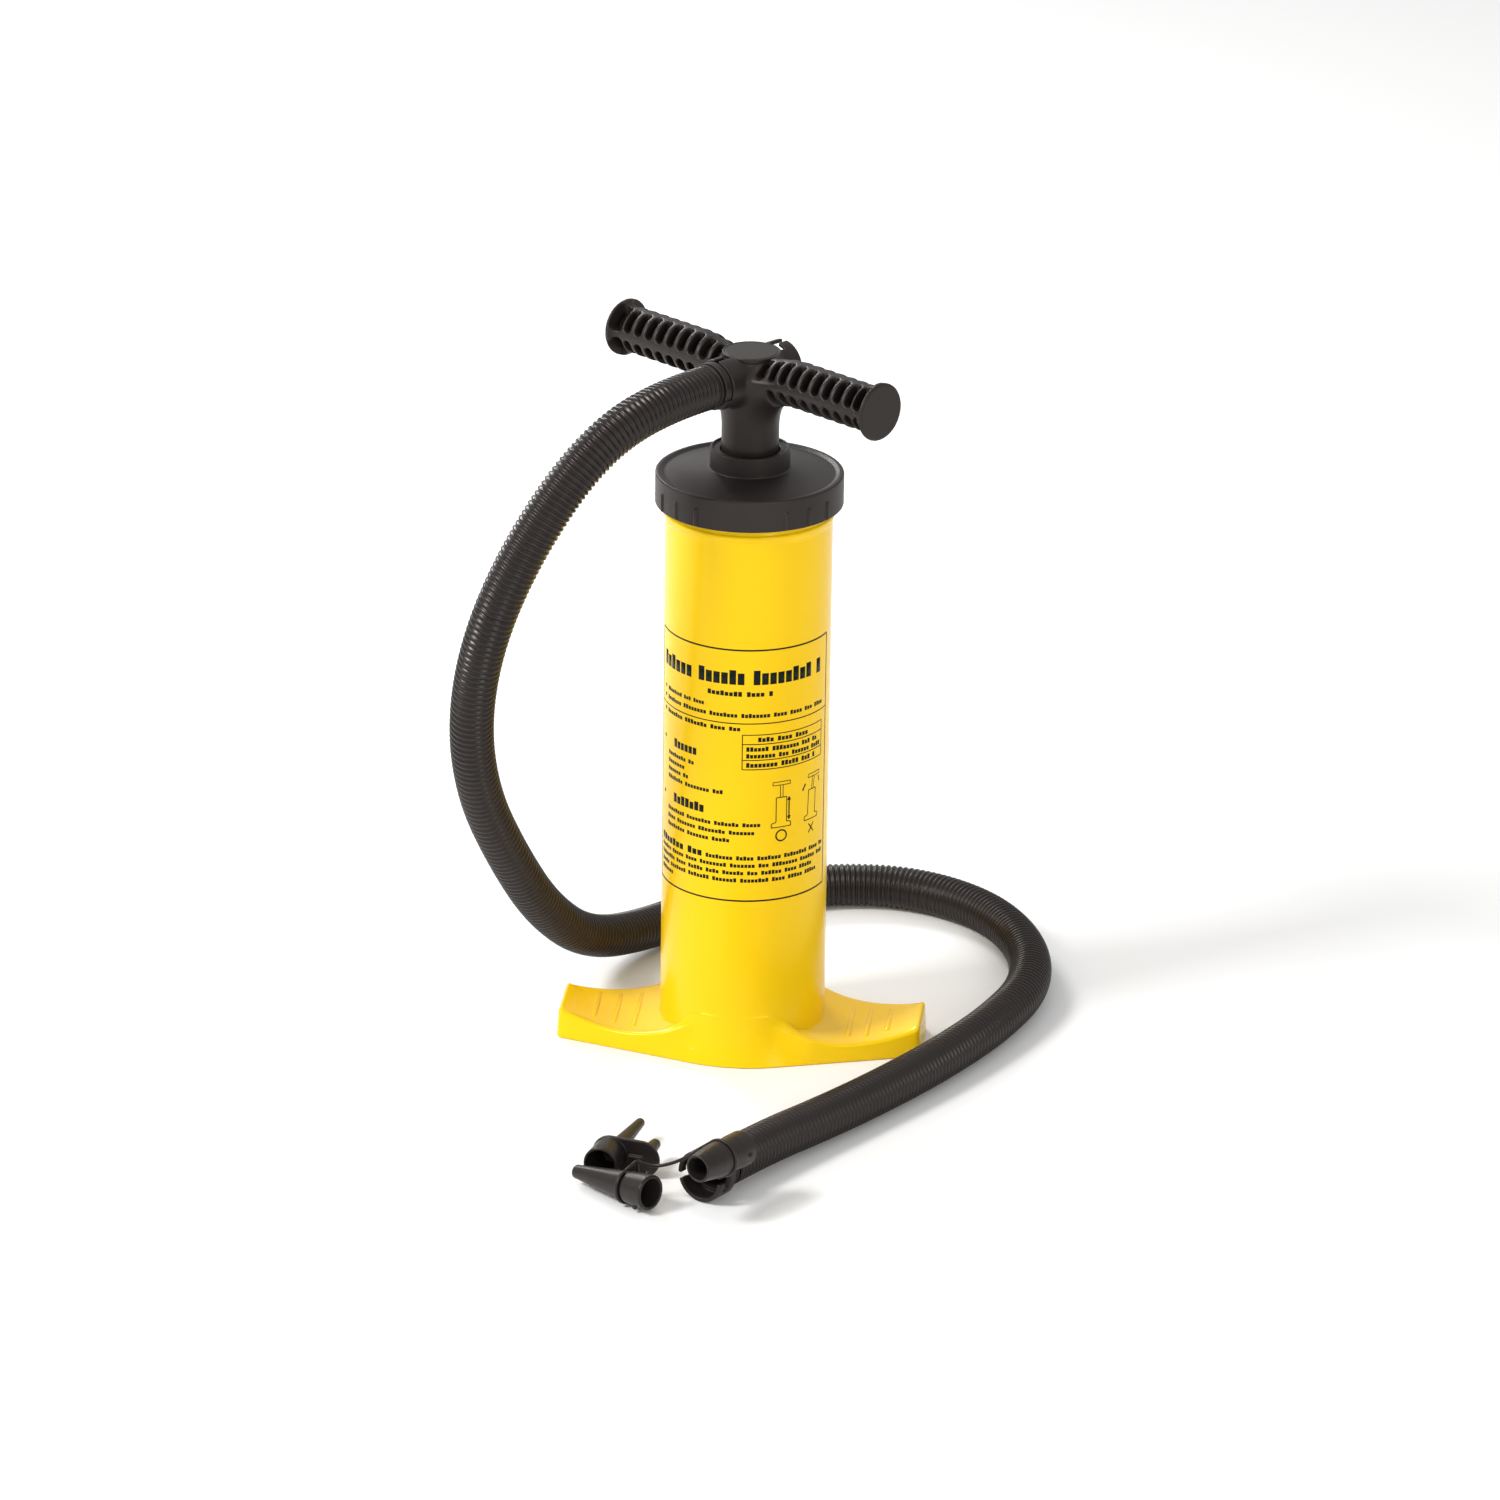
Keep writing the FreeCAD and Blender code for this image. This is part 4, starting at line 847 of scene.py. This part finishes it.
def spline_points(route, resolution=24):
    """The smooth NURBS line that a route's points control, as millimetre points."""
    curve = bpy.data.curves.new("route", "CURVE")
    curve.dimensions = "3D"
    curve.resolution_u = resolution
    spline = curve.splines.new("NURBS")
    spline.points.add(len(route) - 1)
    for point, place in zip(spline.points, route):
        point.co = (*(Vector(place) * MM), 1)
    spline.order_u = 3
    spline.use_endpoint_u = True
    obj = bpy.data.objects.new("route", curve)
    bpy.context.scene.collection.objects.link(obj)
    mesh = bpy.data.meshes.new_from_object(obj)
    points = np.array([vertex.co for vertex in mesh.vertices]) / MM
    bpy.data.objects.remove(obj)
    return points


def run_lengths(points):
    """The distance along a line to each of its points."""
    return np.concatenate([[0], np.cumsum(np.linalg.norm(np.diff(points, axis=0), axis=1))])


def carried_frames(points):
    """Two directions across a line at each of its points, turning no more than they must."""
    tangents = np.gradient(points, axis=0)
    tangents /= np.linalg.norm(tangents, axis=1)[:, None]
    across = np.cross(tangents[0], (0, 0, 1))
    sides = []
    for tangent in tangents:
        across = across - tangent * (across @ tangent)
        across = across / np.linalg.norm(across)
        sides.append(across)
    sides = np.array(sides)
    return sides, np.cross(tangents, sides)


def tube(name, points, radii, sides, material, closed=False):
    """A skin round a line with its own radius at each point."""
    first, second = carried_frames(points)
    angles = np.linspace(0, 2 * math.pi, sides, endpoint=False)
    skin = (points[:, None] + np.asarray(radii)[:, None, None]
            * (np.cos(angles)[None, :, None] * first[:, None]
               + np.sin(angles)[None, :, None] * second[:, None]))
    faces = ring_faces(len(points), sides, closed)
    return add_mesh(name, skin.reshape(-1, 3), faces, material)


HOSE_VALLEY = 12.75
HOSE_SIDES = 40
HOSE_SPLIT_HEIGHT = 322.0
RINGS_PER_RIDGE = 8
# Distance along the hose, and the ridges' pitch there: wider where the hose is pulled.
RIDGE_PITCH = [(0, 3.4), (120, 3.5), (240, 3.9), (380, 4.3), (560, 3.9), (760, 3.7), (1080, 4.0),
               (1250, 3.5), (1390, 3.5)]


def ridged_stations(length):
    """Distances along the hose, and the radius at each, for its rounded ridges."""
    stride = 0.25
    fine = np.arange(0, length, stride)
    pitch = np.interp(fine, *zip(*RIDGE_PITCH))
    ridges = np.cumsum(stride / pitch)
    count = int(ridges[-1] * RINGS_PER_RIDGE)
    turn = np.arange(count + 1) / RINGS_PER_RIDGE
    stations = np.interp(turn, ridges, fine)
    crest = (0.5 - 0.5 * np.cos(2 * math.pi * turn)) ** 0.75
    return stations, HOSE_VALLEY + (HOSE_DIAMETER / 2 - HOSE_VALLEY) * crest


def make_hose():
    """Two lengths of one hose that meet part way up the barrel's side."""
    line = spline_points(HOSE_ROUTE)
    lengths = run_lengths(line)
    stations, radii = ridged_stations(lengths[-1])
    points = np.stack([np.interp(stations, lengths, line[:, i]) for i in range(3)], 1)
    split = int(np.argmax((points[:, 2] < HOSE_SPLIT_HEIGHT) & (radii < HOSE_VALLEY + 0.01)))
    parts = {}
    for name, span in (("hose_upper", slice(0, split + 1)), ("hose_lower", slice(split, None))):
        part = tube(name, points[span], radii[span], HOSE_SIDES, HOSE_BLACK)
        parts[name] = part, points[span], stations[span]
    return parts


hose_parts = make_hose()
upper_hose, upper_line, upper_stations = hose_parts["hose_upper"]
lower_hose, lower_line, lower_stations = hose_parts["hose_lower"]
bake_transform(upper_hose)
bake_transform(lower_hose)
for piece in (upper_hose, lower_hose):
    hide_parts("hose")


# --- Hose connector and cuff -----------------------------------------------------------------

LUG_ANGLE = 55.0


def make_connector():
    """A bayonet plug: spigot, lipped flange with a rim, and the lug that is turned to lock it."""
    outline = [
        (9.0, 19.2, 0), (12.9, 19.2, 0.5), (12.9, 22.0, 0.3), (11.4, 22.0, 0.2),
        (11.4, 25.2, 0.2), (12.9, 25.2, 0.3), (12.9, 31.4, 0.3), (15.0, 31.4, 0.5),
        (15.0, 36.2, 0.6), (12.6, 36.4, 0.5), (12.6, 37.0, 0.5), (14.0, 37.3, 0.6),
        (14.0, 38.6, 0.6), (12.6, 38.9, 0.5), (12.6, 39.9, 0.2), (9.0, 39.9, 0),
    ]
    place = along(PORT_ANGLE + 180, PORT_HEIGHT)
    ring = lathe("connector_ring", outline, BLACK, 96, place)
    lug = Field((9, -4, 28), (21, 4, 44), 0.3)
    lug.add(sd_box(lug.x - 14.2, lug.y, lug.z - 33.8, (2.2, 3.4, 2.6), 0.7))
    turn = Matrix.Rotation(math.radians(LUG_ANGLE), 4, "Z")
    return joined("connector_plug", [ring, lug.mesh("lug", BLACK, place @ turn)])


connector = make_connector()
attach(connector, "rod")
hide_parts("hose_connector")


CUFF_START = Vector(HOSE_ROUTE[-1])
CUFF_RUN = (CUFF_START - Vector(HOSE_ROUTE[-2])).normalized()
CUFF_LENGTH = 24.0
CUFF_SOCKET = 16.2
CUFF_SLOT_ANGLES = (138.0, 326.0)
CUFF_MOUTH = CUFF_START + CUFF_RUN * CUFF_LENGTH


def make_cuff():
    """A socket with a hooked bayonet slot on each side, and a short ridged sleeve behind it."""
    cuff = Field((-19, -19, -3.5), (19, 19, 27), 0.35)
    x, y, z = cuff.x, cuff.y, cuff.z
    cuff.add(sd_rod(x, y, 0.0, CUFF_SOCKET, z, 16.35, 0.7))
    ridges = 13.4 - 0.65 * np.cos(2 * math.pi * (z - CUFF_LENGTH) / RIDGE_PITCH[-1][1])
    cuff.add(sd_rod(x, y, CUFF_SOCKET - 4.0, CUFF_LENGTH, z, ridges))
    cuff.cut(sd_rod(x, y, -6.0, 12.5, z, 13.8), 0.4)
    cuff.cut(sd_rod(x, y, 10.0, 30.0, z, 11.6))
    angle = np.arctan2(y, x)
    out = np.sqrt(x * x + y * y)
    for middle in CUFF_SLOT_ANGLES:
        bend = math.radians(middle)
        side = np.arctan2(np.sin(angle - bend), np.cos(angle - bend)) * 15.0
        straight = sd_box(side, z - 3.0, out - 15.0, (1.9, 7.0, 5.0), 1.2)
        hook = sd_box(side - 3.4, z - 7.8, out - 15.0, (5.8, 2.4, 5.0), 2.0)
        cuff.cut(np.minimum(straight, hook), 0.7)
    return cuff.mesh("hose_end_cuff", BLACK, aimed(CUFF_MOUTH, CUFF_START))


cuff = make_cuff()
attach(cuff, "barrel")
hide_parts("hose_cuff")


# --- Nozzles ---------------------------------------------------------------------------------

def pins(height, reach=12.6, radius=1.5):
    """The two bayonet pins of a nozzle, in its own frame."""
    return [capsule((side * 9.4, 0, height), (side * (reach - radius), 0, height), radius, 16,
                    NOZZLE_BLACK) for side in (1, -1)]


def placed(pieces, place):
    """Pieces moved by a matrix whose lengths are millimetres."""
    matrix = Matrix.Scale(MM, 4) @ place @ Matrix.Scale(1 / MM, 4)
    for piece in pieces:
        piece.data.transform(matrix)
    return pieces


def turned_nozzle(name, outline, place, pin_height):
    """A turned shell with its two pins, put in its place."""
    shell = lathe(name + "_shell", outline, NOZZLE_BLACK, 72)
    return joined(name, placed([shell] + pins(pin_height), place))


def make_wide_nozzle():
    """A short cone on a socket, with a groove for the strap's loop."""
    outline = [
        (9.3, 0, 0.5), (11.2, 0, 0.7), (11.0, 10.0, 2.0), (10.2, 20.3, 0.3), (10.2, 22.9, 0.3),
        (11.0, 22.9, 0.6), (10.6, 30.0, 4.0), (9.6, 38.0, 4.0), (8.5, 45.4, 0.7), (7.1, 45.4, 0.5),
        (6.2, 40.0, 2.0), (4.6, 30.0, 2.0), (7.4, 20.5, 1.0), (9.3, 12.0, 1.0),
    ]
    return turned_nozzle("wide_nozzle_shell", outline, aimed(*WIDE_NOZZLE, 150), 6.0)


def make_long_nozzle():
    """A long taper on a socket, with a groove for the strap's loop."""
    outline = [
        (9.0, 1.0, 0.6), (11.1, 1.0, 1.2), (10.6, 10.0, 3.0), (9.9, 17.8, 0.8), (9.0, 19.2, 0.6),
        (9.0, 21.6, 0.6), (8.6, 26.0, 2.0), (6.2, 48.0, 5.0), (4.2, 63.4, 0.9), (2.6, 63.4, 0.4),
        (3.6, 48.0, 3.0), (4.2, 22.0, 2.0), (6.4, 10.0, 2.0),
    ]
    return turned_nozzle("long_nozzle_shell", outline, aimed(*LONG_NOZZLE), 9.0)


def make_twin_nozzle():
    """Two tapered tips of unequal length on an oval plate, over one socket."""
    nozzle = Field((-14, -14, -2), (35, 14, 74), 0.45)
    x, y, z = nozzle.x, nozzle.y, nozzle.z
    spread, deck = 20.0, 19.5
    nozzle.add(sd_rod(x, y, 0.0, 18.0, z, 11.2, 0.5))
    oval = np.sqrt(np.maximum(np.abs(x - spread / 2) - spread / 2, 0) ** 2 + y ** 2) - 12.0
    plate = np.maximum(oval, np.abs(z - deck + 1.25) - 1.25)
    nozzle.add(plate, 0.8)
    for middle, root, tip, reach in ((0.0, 6.0, 2.9, 51.0), (spread, 5.6, 3.2, 25.0)):
        share = np.clip((z - deck) / reach, 0, 1)
        taper = root + (tip - root) * share
        nozzle.add(sd_rod(x - middle, y, deck - 2.0, deck + reach, z, taper, 2.0), 1.2)
    rib = sd_box(x - spread / 2, y, z - deck - 1.8, (spread / 2, 1.0, 2.6), 0.4)
    nozzle.add(rib, 0.6)
    under = sd_box(x - spread + 3.0, y + 1.5, z - deck + 3.2, (5.0, 0.8, 1.2), 0.4)
    nozzle.add(under, 0.5)
    socket = 9.5 - 5.0 * np.clip(z / 17.0, 0, 1) ** 1.5
    nozzle.cut(sd_rod(x, y, -4.0, 17.0, z, socket), 0.4)
    for middle, low, reach in ((0.0, deck - 6.0, 51.0), (spread, deck + 1.0, 25.0)):
        nozzle.cut(sd_rod(x - middle, y, low, deck + reach + 3.0, z, 1.7), 0.3)
    return nozzle.mesh("twin_nozzle_shell", NOZZLE_BLACK, aimed(*TWIN_NOZZLE, TWIN_ROLL))


wide_nozzle, long_nozzle, twin_nozzle = make_wide_nozzle(), make_long_nozzle(), make_twin_nozzle()
for piece, node in ((wide_nozzle, "wide_nozzle"), (long_nozzle, "long_nozzle"),
                    (twin_nozzle, "twin_nozzle")):
    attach(piece, "barrel")
    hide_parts(node)


# --- Nozzles' strap --------------------------------------------------------------------------

def strap_loop(name, nozzle, reach, ring_radius, knot):
    """A closed strap round a nozzle's shoulder that draws in to a point at its knot."""
    place = aimed(*nozzle)
    local = place.inverted() @ Vector(knot) - Vector((0, 0, reach))
    toward = math.atan2(local.y, local.x)
    far = math.hypot(local.x, local.y)
    open_half = math.acos(ring_radius / far)
    angles = np.linspace(open_half, 2 * math.pi - open_half, 41)
    line = [(ring_radius * math.cos(toward + a), ring_radius * math.sin(toward + a), reach)
            for a in angles]
    apex = np.array([local.x, local.y, reach + local.z])
    ends = np.array(line[-1]), np.array(line[0])
    back = [ends[0] + (apex - ends[0]) * share for share in (0.25, 0.5, 0.75, 0.93)]
    back += [ends[1] + (apex - ends[1]) * share for share in (0.93, 0.75, 0.5, 0.25)]
    points = transform(np.vstack([line, back]), place)
    return tube(name, points, np.full(len(points), 1.1), 14, NOZZLE_BLACK, True)


def make_strap():
    """The strap between the two loops, on its own smooth line."""
    curve = bpy.data.curves.new("nozzle_tether", "CURVE")
    curve.dimensions = "3D"
    curve.resolution_u = 16
    curve.bevel_depth = 1.1 * MM
    curve.bevel_resolution = 4
    curve.use_fill_caps = True
    spline = curve.splines.new("NURBS")
    spline.points.add(len(STRAP_ROUTE) - 1)
    for point, place in zip(spline.points, STRAP_ROUTE):
        point.co = (*(Vector(place) * MM), 1)
    spline.order_u = 3
    spline.use_endpoint_u = True
    curve.materials.append(NOZZLE_BLACK)
    strap = bpy.data.objects.new("nozzle_tether", curve)
    bpy.context.scene.collection.objects.link(strap)
    return strap


strap = make_strap()
long_loop = strap_loop("long_nozzle_strap_loop", LONG_NOZZLE, 20.6, 10.1, STRAP_ROUTE[0])
wide_loop = strap_loop("wide_nozzle_strap_loop", WIDE_NOZZLE, 21.6, 11.3, STRAP_ROUTE[-1])
for piece, node in ((strap, "tether_strap"), (long_loop, "long_nozzle_loop"),
                    (wide_loop, "wide_nozzle_loop")):
    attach(piece, "barrel")
    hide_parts(node)


# --- Floor, light and camera -----------------------------------------------------------------

def make_floor():
    material = bpy.data.materials.new("pale_floor")
    material.use_nodes = True
    shader = material.node_tree.nodes["Principled BSDF"]
    shader.inputs["Base Color"].default_value = (0.93, 0.93, 0.925, 1)
    shader.inputs["Roughness"].default_value = 0.9
    floor = add_mesh("floor", [(-6000, -6000, 0), (6000, -6000, 0), (6000, 6000, 0),
                               (-6000, 6000, 0)], [(0, 1, 2, 3)], material)
    floor.location.z = -0.0002
    return floor


def soft_light(name, place, target, size, power):
    """A rectangular lamp of a size in metres, facing its target."""
    lamp = bpy.data.lights.new(name, "AREA")
    lamp.shape = "RECTANGLE"
    lamp.size, lamp.size_y = size
    lamp.energy = power
    obj = bpy.data.objects.new(name, lamp)
    obj.location = place
    obj.rotation_euler = (Vector(target) - Vector(place)).to_track_quat("-Z", "Y").to_euler()
    bpy.context.scene.collection.objects.link(obj)


def make_studio():
    """A pale floor, an even sky and three soft lamps."""
    make_floor()
    world = bpy.data.worlds.new("studio")
    world.use_nodes = True
    world.node_tree.nodes["Background"].inputs["Color"].default_value = (1, 1, 1, 1)
    world.node_tree.nodes["Background"].inputs["Strength"].default_value = 0.66
    bpy.context.scene.world = world
    soft_light("key", (-1.9, -1.2, 2.1), (0, 0, 0.1), (0.7, 0.7), 62)
    soft_light("fill", (1.6, -2.4, 1.2), (0, 0, 0.2), (0.5, 1.4), 17)
    soft_light("back", (-1.2, 1.8, 1.6), (0, 0, 0.1), (0.9, 0.6), 28)
    bpy.context.scene.view_settings.view_transform = "Standard"


def make_camera():
    """A long lens in front of the pump, above it and a little towards +X."""
    lens = bpy.data.cameras.new("view")
    lens.lens, lens.sensor_width = 199.4, 36.0
    lens.clip_start, lens.clip_end = 0.1, 50.0
    camera = bpy.data.objects.new("view", lens)
    place, target = Vector((0.4788, -4.8564, 2.1310)), Vector((0.00263, 0.00026, 0.1948))
    camera.location = place
    facing = (target - place).to_track_quat("-Z", "Y")
    camera.rotation_mode = "QUATERNION"
    camera.rotation_quaternion = facing @ Quaternion((0, 0, 1), 0.0144666)
    bpy.context.scene.collection.objects.link(camera)
    bpy.context.scene.camera = camera


make_studio()
make_camera()
